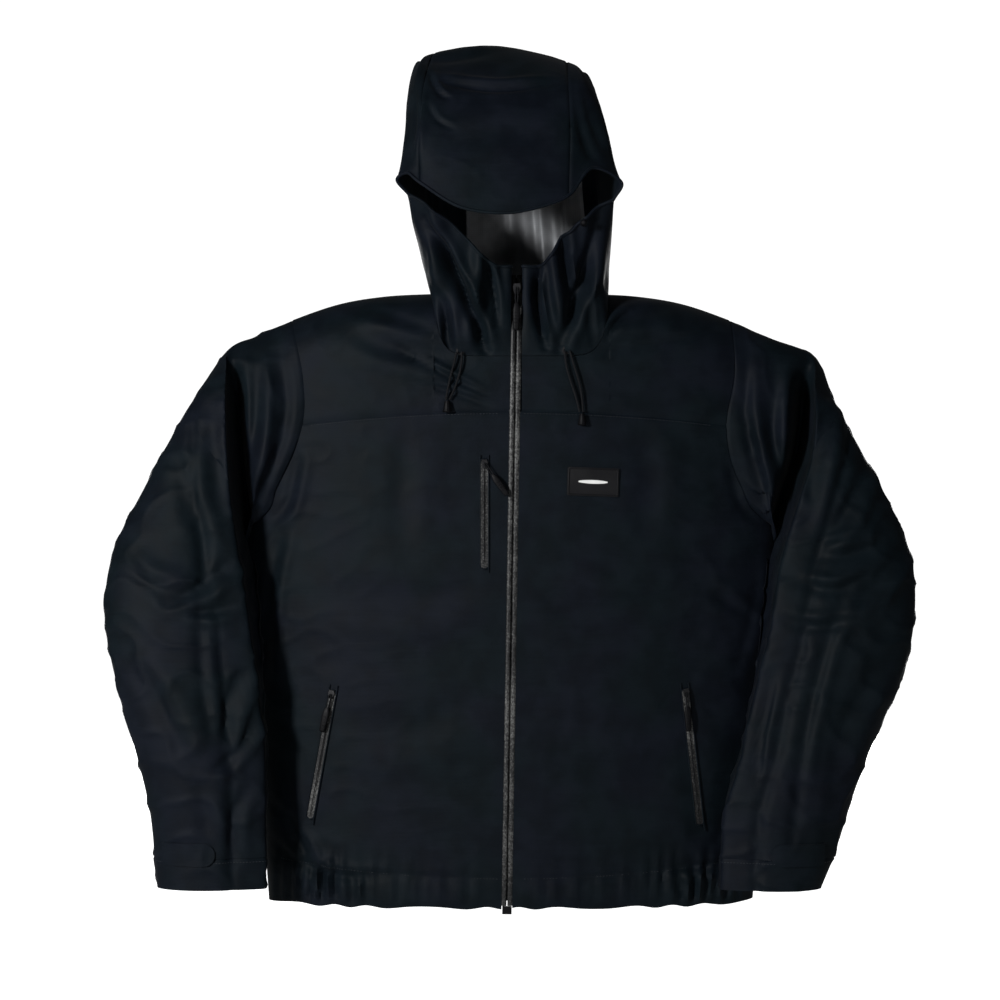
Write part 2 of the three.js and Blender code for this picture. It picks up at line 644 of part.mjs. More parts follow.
// Front zip: two halves, the box at the foot, slider and pull, and the flap behind them.
const front = new THREE.Vector3(0, -1, 0);
const zipHalfNames = { left: 1, right: -1 };
for (const [side, s] of Object.entries(zipHalfNames)) {
  const half = addPart(`main_zip_${side}_half`, 'coatedTape', plate(zipHalf(s), mainZip.length));
  layAlong(half, mainZip.bottom, mainZip.top, front, -tape.thickness);
}
const foot = addPart('main_zip_box', 'moulded', plate(roundedOutline(11, 4, 1.2), 9, 3).translate(0, 0.5, 0));
layAlong(foot, mainZip.bottom.clone().setZ(hemZ - 6.5), mainZip.top, front, 0);
const mainSlider = addPart('main_zip_slider', 'metalSlider', sliderGeometry(1));
layAlong(mainSlider, mainZip.bottom, mainZip.top, front, tape.coilHeight + 0.3);
mainSlider.position.copy(mainZip.at(mainSliderZ)).addScaledVector(front, tape.coilHeight + 0.3);
const mainPull = addPart('main_zip_pull', 'moulded', pullGeometry(50, 9));
layAlong(mainPull, mainZip.bottom, mainZip.top, front, 0);
mainPull.position.copy(mainZip.at(mainSliderZ - 4)).addScaledVector(front, pullLift);
addPart('storm_flap', 'shellFabric', stormFlap());
addPart('chin_guard', 'lining', chinGuard());

pocketZip('chest', [-31, -187], [-31, -313], 0.62);
pocketZip('left_hand', [-208, -456], [-236, -607], -0.05);
pocketZip('right_hand', [203, -454], [221, -614], -0.07);
pocketBag('chest_pocket_bag', -78, -262, 112, 150, 9);
pocketBag('left_hand_pocket_bag', -150, -560, 130, 220, 9);
pocketBag('right_hand_pocket_bag', 140, -560, 130, 220, 9);

// Blank rubber patch on the chest.
const patchPlace = proudPoint([95, -213], 0.4);
const badge = addPart('chest_patch', 'rubber', plate(roundedOutline(60, 33, 2), 1.4, 3).rotateX(-Math.PI / 2));
const patchUp = new THREE.Vector3(0.035, 0, 1);
layAlong(badge, patchPlace, patchPlace.clone().add(patchUp), frontNormal(95, -213), 0.6);

// Hood adjusters: an eyelet, two strands and a bell end on each side of the collar.
for (const side of ['left', 'right']) {
  const cords = drawcords[side];
  addPart(`${side}_drawcord_inner`, 'cord', strand(cords.inner));
  addPart(`${side}_drawcord_outer`, 'cord', strand(cords.outer));
  const end = addPart(`${side}_drawcord_end`, 'moulded', cordEndGeometry());
  end.position.copy(proudPoint(cords.end, 5.5));
  const eyelet = addPart(`${side}_drawcord_eyelet`, 'metalSlider', eyeletGeometry());
  eyelet.position.copy(proudPoint(cords.eyelet, 2));
}
addPart('hood_cord_toggle', 'moulded', new THREE.CapsuleGeometry(4, 8, 4, 10), [83, midY - 104, 84]);

// Hook-and-loop cuff tabs.
for (const side of ['left', 'right']) {
  addPart(`${side}_cuff_tab`, 'shellFabric', cuffTabGeometry(side));
}

// Elastic hem cord inside the back hem, with a spring lock at each side.
addPart('hem_cord', 'cord', hemCord());
for (const side of ['left', 'right']) {
  const x = sign[side] * hemLock.x;
  addPart(`${side}_hem_cord_lock`, 'moulded', lockBody(), [x, midY, hemLock.z]);
  addPart(`${side}_hem_lock_button`, 'moulded', lockButton(), [x, midY, hemLock.z]);
}

addPart('hang_loop', 'cord', hangLoop());

export default jacket;
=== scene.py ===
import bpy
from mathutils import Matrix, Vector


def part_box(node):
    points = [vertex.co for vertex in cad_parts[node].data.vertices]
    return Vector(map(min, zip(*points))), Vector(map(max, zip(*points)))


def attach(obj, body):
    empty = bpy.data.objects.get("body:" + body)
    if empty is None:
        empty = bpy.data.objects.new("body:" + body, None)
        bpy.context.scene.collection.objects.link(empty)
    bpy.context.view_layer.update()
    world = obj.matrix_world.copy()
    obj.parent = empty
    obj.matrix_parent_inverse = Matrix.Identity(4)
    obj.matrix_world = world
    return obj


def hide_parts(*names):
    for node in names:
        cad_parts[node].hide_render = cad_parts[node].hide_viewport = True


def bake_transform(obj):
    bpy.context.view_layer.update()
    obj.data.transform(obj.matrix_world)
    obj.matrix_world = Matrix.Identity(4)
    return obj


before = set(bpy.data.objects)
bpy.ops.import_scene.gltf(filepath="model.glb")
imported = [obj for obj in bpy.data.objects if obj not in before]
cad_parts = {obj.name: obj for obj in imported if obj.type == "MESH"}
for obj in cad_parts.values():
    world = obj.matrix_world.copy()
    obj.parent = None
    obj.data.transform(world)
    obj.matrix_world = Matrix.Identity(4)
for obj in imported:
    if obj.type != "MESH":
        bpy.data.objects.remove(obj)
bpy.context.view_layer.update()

import math

import bmesh
import bpy
import numpy as np
from mathutils import Matrix, Vector, noise

# ------------------------------------------------------------------ dimensions (metres)
MM = 0.001
LAMINATE = 0.7 * MM                      # thickness of the shell fabric with its backer
HEM_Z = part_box("left_front_panel")[0][2]
ARMPIT_Z = -268 * MM
MID_Y = -45 * MM                         # mid-plane between the front and the back
FRONT_DEPTH = 72 * MM
BACK_DEPTH = 62 * MM
SHOULDER_RADIUS = 55 * MM
YOKE_Z = -131 * MM
YOKE_DROP = 15 * MM
NECK_X = 12 * MM
NECK_HALF = 102 * MM
CHIN_Z = 37 * MM
ZIP_HALF = 6.2 * MM                      # half width of the front zip between the panels
GRID = 3.4 * MM                          # spacing of the fabric meshes
SIGN = {"left": -1, "right": 1}


# ------------------------------------------------------------------ small mathematics
def smooth(t):
    """0 to 1 with soft ends."""
    t = np.clip(t, 0.0, 1.0)
    return t * t * (3 - 2 * t)


def mix(a, b, t):
    return a + (b - a) * t


def stations(points):
    """Smooth function through [position, value] pairs in millimetres, in rising order."""
    xs, ys = (np.array(points, float) * MM).T
    slopes = np.gradient(ys, xs)
    slopes[0] = (ys[1] - ys[0]) / (xs[1] - xs[0])
    slopes[-1] = (ys[-1] - ys[-2]) / (xs[-1] - xs[-2])

    def value(position):
        p = np.clip(np.asarray(position, float), xs[0], xs[-1])
        i = np.clip(np.searchsorted(xs, p, side="right") - 1, 0, len(xs) - 2)
        span = xs[i + 1] - xs[i]
        t = (p - xs[i]) / span
        rise = ys[i] * (2 * t**3 - 3 * t**2 + 1) + ys[i + 1] * (3 * t**2 - 2 * t**3)
        return rise + span * (slopes[i] * (t**3 - 2 * t**2 + t) + slopes[i + 1] * (t**3 - t**2))

    return value


def spline(points, samples):
    """Catmull-Rom curve through points (rows), sampled evenly in its parameter."""
    pts = np.array(points, float)
    padded = np.concatenate([[2 * pts[0] - pts[1]], pts, [2 * pts[-1] - pts[-2]]])
    at = np.linspace(0, len(pts) - 1, samples) if np.isscalar(samples) else np.asarray(samples)
    i = np.clip(at.astype(int), 0, len(pts) - 2)
    t = (at - i).reshape((-1,) + (1,) * (pts.ndim - 1))
    a, b, c, d = (padded[i + k] for k in range(4))
    return 0.5 * (2 * b + (c - a) * t + (2 * a - 5 * b + 4 * c - d) * t**2 + (3 * b - a - 3 * c + d) * t**3)


def net_surface(net, rows, columns):
    """Smooth surface through a net of control points [row][column] in millimetres."""
    pts = np.array(net, float) * MM
    return spline(spline(pts, rows).transpose(1, 0, 2), columns).transpose(1, 0, 2)


def noise_field(points, size, stretch=(1, 1, 1), shift=0.0):
    """Soft noise from -1 to 1 whose lumps are about `size` across."""
    scaled = points.reshape(-1, 3) * np.array(stretch) / size + shift
    return np.array([noise.noise(p) for p in scaled]).reshape(points.shape[:-1])


def normals_of(grid, inside, closed=False):
    """Unit normals of a grid of points, facing away from `inside`."""
    if closed:
        along_u = np.roll(grid, -1, 1) - np.roll(grid, 1, 1)
    else:
        along_u = np.gradient(grid, axis=1)
    along_v = np.gradient(grid, axis=0)
    n = np.cross(along_u, along_v)
    n /= np.maximum(np.linalg.norm(n, axis=2, keepdims=True), 1e-12)
    away = grid - (grid.mean(1, keepdims=True) if closed else np.array(inside))
    return n if (n * away).sum() > 0 else -n


def softened(normals, closed=False, turns=24):
    """Normals averaged with their neighbours, so that a lining never pokes through a crease."""
    n = normals
    for _ in range(turns):
        n = np.pad(n, ((0, 0), (1, 1), (0, 0)), "wrap" if closed else "edge")
        n = n[:, :-2] + n[:, 1:-1] + n[:, 2:]
        n = np.pad(n, ((1, 1), (0, 0), (0, 0)), "edge")
        n = n[:-2] + n[1:-1] + n[2:]
        n = n / np.linalg.norm(n, axis=2, keepdims=True)
    return n


# ------------------------------------------------------------------ folds
FOLD_STEPS = 70                          # points along the line of a fold


def fold(across, up, path, depth, width, ridge=0.5):
    """Height of one fold over points (across, up): a valley along path with a ridge beside it.

    path is a short list of (x, z) in millimetres, depth and width are too.
    """
    line = spline(np.array(path, float) * MM, FOLD_STEPS)
    width = width * MM
    (left, low), (right, high) = line.min(0) - 4 * width, line.max(0) + 4 * width
    height = np.zeros(across.shape)
    near_by = (across > left) & (across < right) & (up > low) & (up < high)
    flat = np.stack([across[near_by], up[near_by]], 1)
    if not len(flat):
        return height
    gap = flat[:, None, :] - line[None, :, :]
    distance = (gap**2).sum(2)
    near = distance.argmin(1)
    rows = np.arange(len(flat))
    tangent = np.gradient(line, axis=0)
    tangent /= np.linalg.norm(tangent, axis=1, keepdims=True)
    direction, offset = tangent[near], gap[rows, near]
    side = direction[:, 0] * offset[:, 1] - direction[:, 1] * offset[:, 0]
    past = np.maximum(distance[rows, near] - side**2, 0)
    s = side / width
    ends = np.sin(np.pi * np.clip(near / (FOLD_STEPS - 1), 0.03, 0.97)) ** 0.6 * np.exp(-past / width**2)
    height[near_by] = (-np.exp(-s**2) + ridge * np.exp(-((s - 1.7) ** 2))) * ends * depth * MM
    return height


def folds(grid, table, sharpness=1.6):
    """Sum of the folds in a table over a grid of points, seen from the front."""
    total = np.zeros(grid.shape[:-1])
    for path, depth, width, ridge in table:
        total += fold(grid[..., 0], grid[..., 2], path, depth * sharpness, width * 0.8, ridge)
    return total


# ------------------------------------------------------------------ meshes
def new_object(name, vertices, faces, materials, indices=None, sharp=55):
    mesh = bpy.data.meshes.new(name)
    mesh.from_pydata(np.asarray(vertices).tolist(), [], [list(map(int, f)) for f in faces])
    for material in materials:
        mesh.materials.append(material)
    if indices is not None:
        mesh.polygons.foreach_set("material_index", np.asarray(indices, np.int32))
    mesh.polygons.foreach_set("use_smooth", np.ones(len(mesh.polygons), bool))
    if sharp:
        mesh.set_sharp_from_angle(angle=math.radians(sharp))
    mesh.update()
    obj = bpy.data.objects.new(name, mesh)
    bpy.context.scene.collection.objects.link(obj)
    return obj


def grid_faces(rows, columns, closed):
    across = columns if closed else columns - 1
    j, i = np.meshgrid(np.arange(rows - 1), np.arange(across), indexing="ij")
    a = j * columns + i
    b = j * columns + (i + 1) % columns
    return np.stack([a, b, b + columns, a + columns], -1).reshape(-1, 4)


def skin(name, grid, normals, materials, thickness=LAMINATE, closed=False, facing=None):
    """Fabric with two faces: the outer face on `grid`, the lining behind it and the cut edge.

    facing(j, i) is true where the inside is turned-back shell fabric, not lining; inside the hood and collar
    this dark cloth is partly a facing and partly painted shade.
    """
    rows, columns = grid.shape[:2]
    count = rows * columns
    outer = grid.reshape(-1, 3)
    inner = (grid - normals * thickness).reshape(-1, 3)
    quads = grid_faces(rows, columns, closed)
    a, b, c = (outer[quads[:, k]] for k in (0, 1, 2))
    faces_out = (np.cross(b - a, c - a) * normals.reshape(-1, 3)[quads[:, 0]]).sum() > 0
    if not faces_out:
        quads = quads[:, ::-1]
    back = quads[:, [0, 3, 2, 1]] + count             # same diagonals as the outer face
    edge = []
    i = np.arange(columns if closed else columns - 1)
    nxt = (i + 1) % columns
    edge.append(np.stack([nxt, i, i + count, nxt + count], 1))
    top = (rows - 1) * columns
    edge.append(np.stack([top + i, top + nxt, top + nxt + count, top + i + count], 1))
    if not closed:
        j = np.arange(rows - 1) * columns
        edge.append(np.stack([j, j + columns, j + columns + count, j + count], 1))
        e = j + columns - 1
        edge.append(np.stack([e + columns, e, e + count, e + columns + count], 1))
    rim = np.vstack(edge)
    if not faces_out:
        rim = rim[:, ::-1]
    inside_index = np.ones(len(back), int)
    if facing is not None:
        across = columns if closed else columns - 1
        jj, ii = np.meshgrid(np.arange(rows - 1), np.arange(across), indexing="ij")
        inside_index = np.where(facing(jj.ravel(), ii.ravel()), 0, 1)
    indices = np.concatenate([np.zeros(len(quads), int), inside_index, np.zeros(len(rim), int)])
    return new_object(name, np.vstack([outer, inner]), np.vstack([quads, back, rim]), materials, indices)


def tube(path, radius, sides=8, taper=None):
    """Vertices and faces of a round bar along a list of points, with closed ends."""
    pts = np.array(path, float)
    tangents = np.gradient(pts, axis=0)
    tangents /= np.linalg.norm(tangents, axis=1, keepdims=True)
    up = np.array([0.0, 1.0, 0.0])
    side = np.cross(tangents, up)
    side /= np.maximum(np.linalg.norm(side, axis=1, keepdims=True), 1e-9)
    other = np.cross(tangents, side)
    angles = np.linspace(0, 2 * np.pi, sides, endpoint=False)
    radii = np.full(len(pts), radius) if taper is None else radius * np.asarray(taper)
    ring = side[:, None] * np.cos(angles)[None, :, None] + other[:, None] * np.sin(angles)[None, :, None]
    vertices = (pts[:, None] + ring * radii[:, None, None]).reshape(-1, 3)
    faces = [list(f) for f in grid_faces(len(pts), sides, True)]
    faces.append(list(range(sides))[::-1])
    faces.append(list(range((len(pts) - 1) * sides, len(pts) * sides)))
    return vertices, faces


def joined(parts):
    """Puts several (vertices, faces) together."""
    vertices, faces, base = [], [], 0
    for v, f in parts:
        vertices.append(np.asarray(v, float))
        faces.extend([[int(i) + base for i in face] for face in f])
        base += len(v)
    return np.vstack(vertices), faces


def outward_faces(obj):
    """Turns a closed mesh's faces to point out."""
    bm = bmesh.new()
    bm.from_mesh(obj.data)
    bmesh.ops.recalc_face_normals(bm, faces=bm.faces)
    bm.to_mesh(obj.data)
    bm.free()


def solid(name, vertices, faces, material, sharp=40):
    obj = new_object(name, vertices, faces, [material], sharp=None)
    outward_faces(obj)
    obj.data.set_sharp_from_angle(angle=math.radians(sharp))
    return obj


# ------------------------------------------------------------------ camera
SCALE = 1.17                             # width of the picture at the jacket, metres
LENS, SENSOR = 85.0, 36.0
camera = bpy.data.objects.new("camera", bpy.data.cameras.new("camera"))
camera.data.lens = LENS
camera.data.sensor_width = SENSOR
reach = SCALE / 2 / (SENSOR / 2 / LENS)
camera.location = (-0.0129, MID_Y - 0.05 - reach, -0.234)
camera.rotation_euler = (math.radians(90), 0, 0)
bpy.context.scene.collection.objects.link(camera)
bpy.context.scene.camera = camera


# ------------------------------------------------------------------ body shape
shoulder_z = stations([[0, 12], [95, 11], [150, 8], [200, 0], [260, -20], [325, -48]])
side_x = stations([[-708, 288], [-600, 296], [-450, 307], [-380, 314], [-320, 319], [-268, 316]])
armhole_x = {
    "left": stations([[-268, 316], [-252, 290], [-221, 275], [-173, 252], [-132, 242], [-96, 243],
                     [-20, 259]]),
    "right": stations([[-268, 316], [-250, 289], [-218, 270], [-186, 257], [-149, 252], [-84, 262],
                      [-20, 259]]),
}
SHOULDER_TOP_X = 259 * MM
SHOULDER_TOP_Z = -20 * MM


def zip_x(z):
    return mix(7 * MM, -5 * MM, (CHIN_Z - z) / (CHIN_Z - HEM_Z))


def edge_x(side, z):
    """Side seam, and above it the armhole."""
    return np.where(z < ARMPIT_Z, side_x(z), armhole_x[side](z))


def fullness(x, z):
    across = np.minimum(np.abs(x) / np.maximum(side_x(np.minimum(z, ARMPIT_Z)), np.abs(x)), 1)
    below = np.clip((shoulder_z(np.abs(x)) - z) / SHOULDER_RADIUS, 0, 1)
    return (1 - across**2.4) ** 0.55 * np.sqrt(np.maximum(1 - (1 - below) ** 2, 0))


POCKET_ZIPS = {                          # top x, z, bottom x, z, how far the pull leans
    "chest": (-31, -187, -31, -313, 0.62),
    "left_hand": (-208, -456, -236, -607, -0.05),
    "right_hand": (203, -454, 221, -614, -0.07),
}

# Creases of the front: path from end to end, depth, width, ridge beside it (mm, seen from the front).
FRONT_FOLDS = [
    ([(-268, -552), (-250, -632), (-224, -668), (-196, -672)], 3.2, 9, 0.9),
    ([(-284, -636), (-240, -664), (-200, -673), (-150, -674)], 2.6, 7, 0.8),
    ([(284, -630), (262, -662), (226, -664), (190, -660)], 2.8, 8, 0.9),
    ([(-286, -590), (-262, -610), (-240, -640)], 2.4, 8, 0.7),
    ([(272, -560), (262, -600), (236, -640)], 2.2, 8, 0.7),
    ([(-268, -262), (-283, -330), (-289, -400), (-291, -456)], 3.4, 10, 1.0),
    ([(292, -300), (284, -370), (262, -440)], 2.6, 10, 0.8),
    ([(236, -340), (262, -358), (291, -380)], 2.4, 9, 0.8),
    ([(-250, -180), (-262, -236), (-284, -262)], 2.6, 9, 0.8),
    ([(256, -190), (268, -236), (292, -262)], 2.4, 9, 0.8),
    ([(-60, -70), (-130, -60), (-190, -38)], 2.8, 14, 0.7),
    ([(90, -60), (150, -52), (214, -40)], 2.6, 14, 0.7),
    ([(-84, -40), (-140, -18), (-176, -8)], 2.4, 10, 0.7),
    ([(126, -30), (160, -12), (196, -8)], 2.0, 10, 0.7),
    ([(-140, -52), (-92, -80), (-30, -112)], 2.0, 4.5, 0.9),
    ([(-122, -96), (-70, -108), (-18, -128)], 1.5, 4.5, 0.9),
    ([(112, -44), (126, -24), (144, -12)], 3.5, 6, 0.8),
    ([(176, -50), (206, -44), (246, -28)], 1.6, 6, 0.8),
    ([(-20, -330), (-120, -350), (-230, -340)], 1.6, 24, 0.8),
    ([(20, -346), (110, -366), (220, -350)], 1.6, 24, 0.8),
    ([(-40, -470), (-120, -500), (-190, -490)], 1.5, 26, 0.7),
    ([(40, -520), (120, -560), (180, -570)], 1.6, 26, 0.7),
    ([(-120, -150), (-128, -230), (-122, -300)], 1.3, 20, 0.6),
    ([(150, -150), (160, -220), (150, -290)], 1.3, 20, 0.6),
]
BACK_FOLDS = [
    ([(-200, -170), (-120, -190), (-20, -186)], 2.2, 18, 0.8),
    ([(210, -180), (130, -200), (30, -200)], 2.2, 18, 0.8),
    ([(-270, -300), (-180, -330), (-80, -330)], 2.4, 20, 0.8),
    ([(270, -310), (170, -350), (70, -356)], 2.4, 20, 0.8),
    ([(-250, -470), (-150, -500), (-40, -500)], 2.2, 24, 0.8),
    ([(250, -480), (160, -520), (60, -530)], 2.2, 24, 0.8),
    ([(-270, -600), (-200, -650), (-150, -680)], 2.6, 12, 0.8),
    ([(270, -600), (210, -650), (160, -680)], 2.6, 12, 0.8),
]


def wrinkles(grid, seed, strength=1.0, crumple=1.0):
    """Soft unevenness of a hanging laminate: long swells and short crumples."""
    swell = noise_field(grid, 0.14, (1, 1, 0.7), seed) * 3.2 * MM
    middling = noise_field(grid, 0.048, (1, 1, 0.6), seed + 7) * 0.9 * MM
    small = noise_field(grid, 0.016, (1, 1, 0.8), seed + 13) * 0.22 * MM
    ridged = 1 - np.abs(noise_field(grid, 0.055, (1, 1, 1.5), seed + 31)) * 2.4
    crease = np.maximum(ridged, 0) ** 3 * 1.3 * MM * crumple
    return (swell + middling + small + crease) * strength


def hem_pucker(x, z):
    """Gathers that the hem cord pulls into the fabric above the hem, most near the sides."""
    near_side = smooth((np.abs(x) - 0.10) / 0.14)
    band = smooth((z - HEM_Z) / 0.012) * (1 - smooth((z - HEM_Z - 0.03) / 0.05))
    waves = np.sin(x / 0.0034 + 3 * np.sin(x / 0.03) + 14 * z) + 0.6 * np.sin(x / 0.0021 + 1.0 - 40 * z)
    channel = -0.0011 * np.exp(-(((z - hem_channel_z(x)) / 0.0032) ** 2))
    inside = np.maximum(np.sin(np.pi * np.clip((z - HEM_Z) / (hem_channel_z(x) - HEM_Z), 0, 1)), 0) ** 0.7
    gathers = np.sin(x / 0.0026 + 2.2 * np.sin(x / 0.019)) * (0.4 + near_side) * 1.7 * MM
    return waves * band * (0.25 + near_side) * 2.1 * MM + channel + (2.2 * MM + gathers) * inside


def hem_edge(x, share):
    """How far the lower edge waves up and down; share is 0 at the hem, 1 at the top of the panel."""
    return (1 - share) ** 10 * 1.5 * MM * np.sin(x / 0.009 + 2 * np.sin(x / 0.031))


def hem_channel_z(x):
    """Top stitch line of the hem's cord channel: highest at the sides."""
    return HEM_Z + 0.034 + 0.020 * (x / 0.29) ** 2


def front_y(x, z):
    """The front of the jacket, with its creases."""
    spots = np.stack([x, np.full_like(x, -0.1), z], -1)
    near_edges = 0.35 + 0.65 * smooth((np.abs(x) / 0.29 - 0.45) / 0.5)
    relief = folds(spots, FRONT_FOLDS) + wrinkles(spots, 3.0) * near_edges + hem_pucker(x, z)
    full = fullness(x, z)
    calm = 1 - 0.85 * np.exp(-(((x - zip_x(z)) / 0.03) ** 2))
    for top_x, top_z, bottom_x, bottom_z, _ in POCKET_ZIPS.values():
        along = np.clip((z / MM - top_z) / (bottom_z - top_z), -0.06, 1.04)
        gap = np.hypot(x / MM - mix(top_x, bottom_x, along), z / MM - mix(top_z, bottom_z, along))
        calm = calm * (1 - 0.97 * np.exp(-((gap / 16) ** 4)))
    return MID_Y - FRONT_DEPTH * full - relief * np.minimum(full * 1.3, 1) * calm


def back_y(x, z):
    spots = np.stack([x, np.full_like(x, 0.1), z], -1)
    relief = folds(spots, BACK_FOLDS) + wrinkles(spots, 21.0) * 0.7 + hem_pucker(x, z)
    full = fullness(x, z)
    return MID_Y + BACK_DEPTH * full + relief * np.minimum(full * 1.3, 1)


def front_points(x, z):
    """Points of the front at the given x and z."""
    return np.stack([x, front_y(x, z), z], -1)


def back_points(x, z):
    """Points of the back at the given x and z."""
    return np.stack([x, back_y(x, z), z], -1)


def count(length):
    """Number of mesh points along a length of cloth."""
    return max(int(round(length / GRID)), 3)


def tuck(grid, normals, edges, depth=1.3 * MM):
    """Sinks the listed edges ("low", "high", "start", "end") into their seams."""
    sunk = grid.copy()
    rows = {"low": np.s_[0, :], "high": np.s_[-1, :], "start": np.s_[:, 0], "end": np.s_[:, -1]}
    for edge in edges:
        sunk[rows[edge]] -= normals[rows[edge]] * depth
    return sunk


BODY_MIDDLE = (0.0, MID_Y, -0.35)        # points inside the jacket that its faces look away from
COLLAR_MIDDLE = (NECK_X, MID_Y + 0.05, 0.0)
HOOD_MIDDLE = (NECK_X, MID_Y, 0.15)


def front_panel(side):
    """Lower front of one side, from the hem up to the yoke and from the zip to the side seam."""
    s = SIGN[side]
    rows, columns = count(YOKE_Z - HEM_Z), count(0.30)
    u, v = np.meshgrid(np.linspace(0, 1, columns), np.linspace(0, 1, rows))
    z = mix(HEM_Z, YOKE_Z, v)
    inner = zip_x(z) + s * ZIP_HALF
    x = mix(inner, s * edge_x(side, z), np.sin(u * np.pi / 2))
    z = z - YOKE_DROP * (x / 0.25) ** 2 * v**4
    x = mix(inner, s * edge_x(side, z), np.sin(u * np.pi / 2))
    return front_points(x, z + hem_edge(x, v))


def neck_share(side, columns, half):
    """Steps of x round the neck opening, close together where the seam climbs the shoulder."""
    start = math.asin(abs(zip_x(-0.06) + SIGN[side] * half - NECK_X) / NECK_HALF)
    return np.sin(np.linspace(start, np.pi / 2, columns))


def neck_front_z(share):
    """Height of the neck seam in front, by its share of the way to the shoulder."""
    return mix(-67 * MM, 11 * MM, 1 - np.sqrt(np.maximum(1 - share**9, 0)))


def neck_back_z(share):
    """Height of the neck seam behind."""
    return mix(-6 * MM, 11 * MM, share**2)


NECK_COLUMNS = 44
SHOULDER_COLUMNS = 52


def yoke_lines(side, share, neck_z):
    """x, top z and armhole weight of a yoke's columns: the neck first, then the shoulder."""
    s = SIGN[side]
    neck_x = NECK_X + s * NECK_HALF * share
    end = abs(neck_x[-1])
    shoulder = np.linspace(end, SHOULDER_TOP_X, SHOULDER_COLUMNS)[1:]
    x = np.concatenate([neck_x, s * shoulder])
    top = np.minimum(np.concatenate([neck_z(share), shoulder_z(shoulder)]), shoulder_z(np.abs(x)))
    weight = np.concatenate([np.zeros(len(share)), (shoulder - end) / (SHOULDER_TOP_X - end)])
    return x, top, weight


def yoke_grid(side, share, neck_z, points, drop):
    x, top, weight = yoke_lines(side, share, neck_z)
    rows = count(0.14)
    v = np.linspace(0, 1, rows)[:, None]
    z = mix(YOKE_Z - drop(x), top, np.sin(v * np.pi / 2))
    spread = armhole_x[side](z) / SHOULDER_TOP_X
    return points(x * mix(1, spread, weight), z)


def front_yoke(side):
    """Front of the shoulder on one side."""
    share = neck_share(side, NECK_COLUMNS, ZIP_HALF)
    return yoke_grid(side, share, neck_front_z, front_points, lambda x: YOKE_DROP * (x / 0.25) ** 2)


def back_yoke():
    """Back of both shoulders, in one piece."""
    halves = {}
    for side in ("left", "right"):
        share = np.sin(np.linspace(0, np.pi / 2, NECK_COLUMNS))
        halves[side] = yoke_grid(side, share, neck_back_z, back_points, lambda x: YOKE_DROP + 0 * x)
    return np.concatenate([halves["left"][:, ::-1], halves["right"][:, 1:]], 1)


def back_panel():
    """The back below its yoke."""
    rows, columns = count(YOKE_Z - HEM_Z), count(0.60)
    u, v = np.meshgrid(np.linspace(-1, 1, columns), np.linspace(0, 1, rows))
    z = mix(HEM_Z, YOKE_Z - YOKE_DROP, v)
    width = np.where(u < 0, edge_x("left", z), edge_x("right", z))
    x = np.sin(u * np.pi / 2) * width
    return back_points(x, z + hem_edge(x, v))


# ------------------------------------------------------------------ sleeve shape
# Rings from armhole to cuff: outer x, z, inner x, z, centre off the mid-plane, half depth, bow.
SLEEVE_RINGS = {
    "left": [[264, -24, 317, -272, 0, 45, 34], [300, -39, 315, -279, -4, 49, 20],
             [337, -57, 308, -288, -10, 53, 8],
             [377, -120, 304, -298, -16, 55, 0], [427, -211, 302, -312, -26, 54, 0],
             [462, -281, 300, -325, -37, 50, 0],
             [474, -339, 298, -339, -46, 48, 0], [470, -400, 293, -400, -51, 46, 0],
             [457, -455, 290, -455, -55, 45, 0],
             [437, -520, 286, -520, -58, 44, 0], [421, -585, 286, -585, -60, 42, 0],
             [414, -645, 287, -645, -61, 40, 0],
             [410, -681, 287, -681, -62, 40, 0]],
    "right": [[268, -26, 318, -272, 0, 45, 24], [310, -42, 315, -279, -4, 49, 20],
              [360, -67, 308, -288, -10, 53, 8],
              [387, -128, 304, -298, -16, 55, 0], [430, -211, 302, -312, -26, 54, 0],
              [461, -281, 300, -325, -37, 50, 0],
              [471, -339, 298, -339, -46, 48, 0], [466, -400, 290, -400, -51, 46, 0],
              [449, -455, 281, -455, -55, 45, 0],
              [419, -520, 267, -520, -60, 44, 0], [394, -585, 250, -585, -64, 42, 0],
              [374, -645, 246, -645, -66, 40, 0],
              [359, -681, 245, -681, -67, 40, 0]],
}
CAP_END, CUFF_START, CUFF_END = 3, 11, 12      # ring numbers
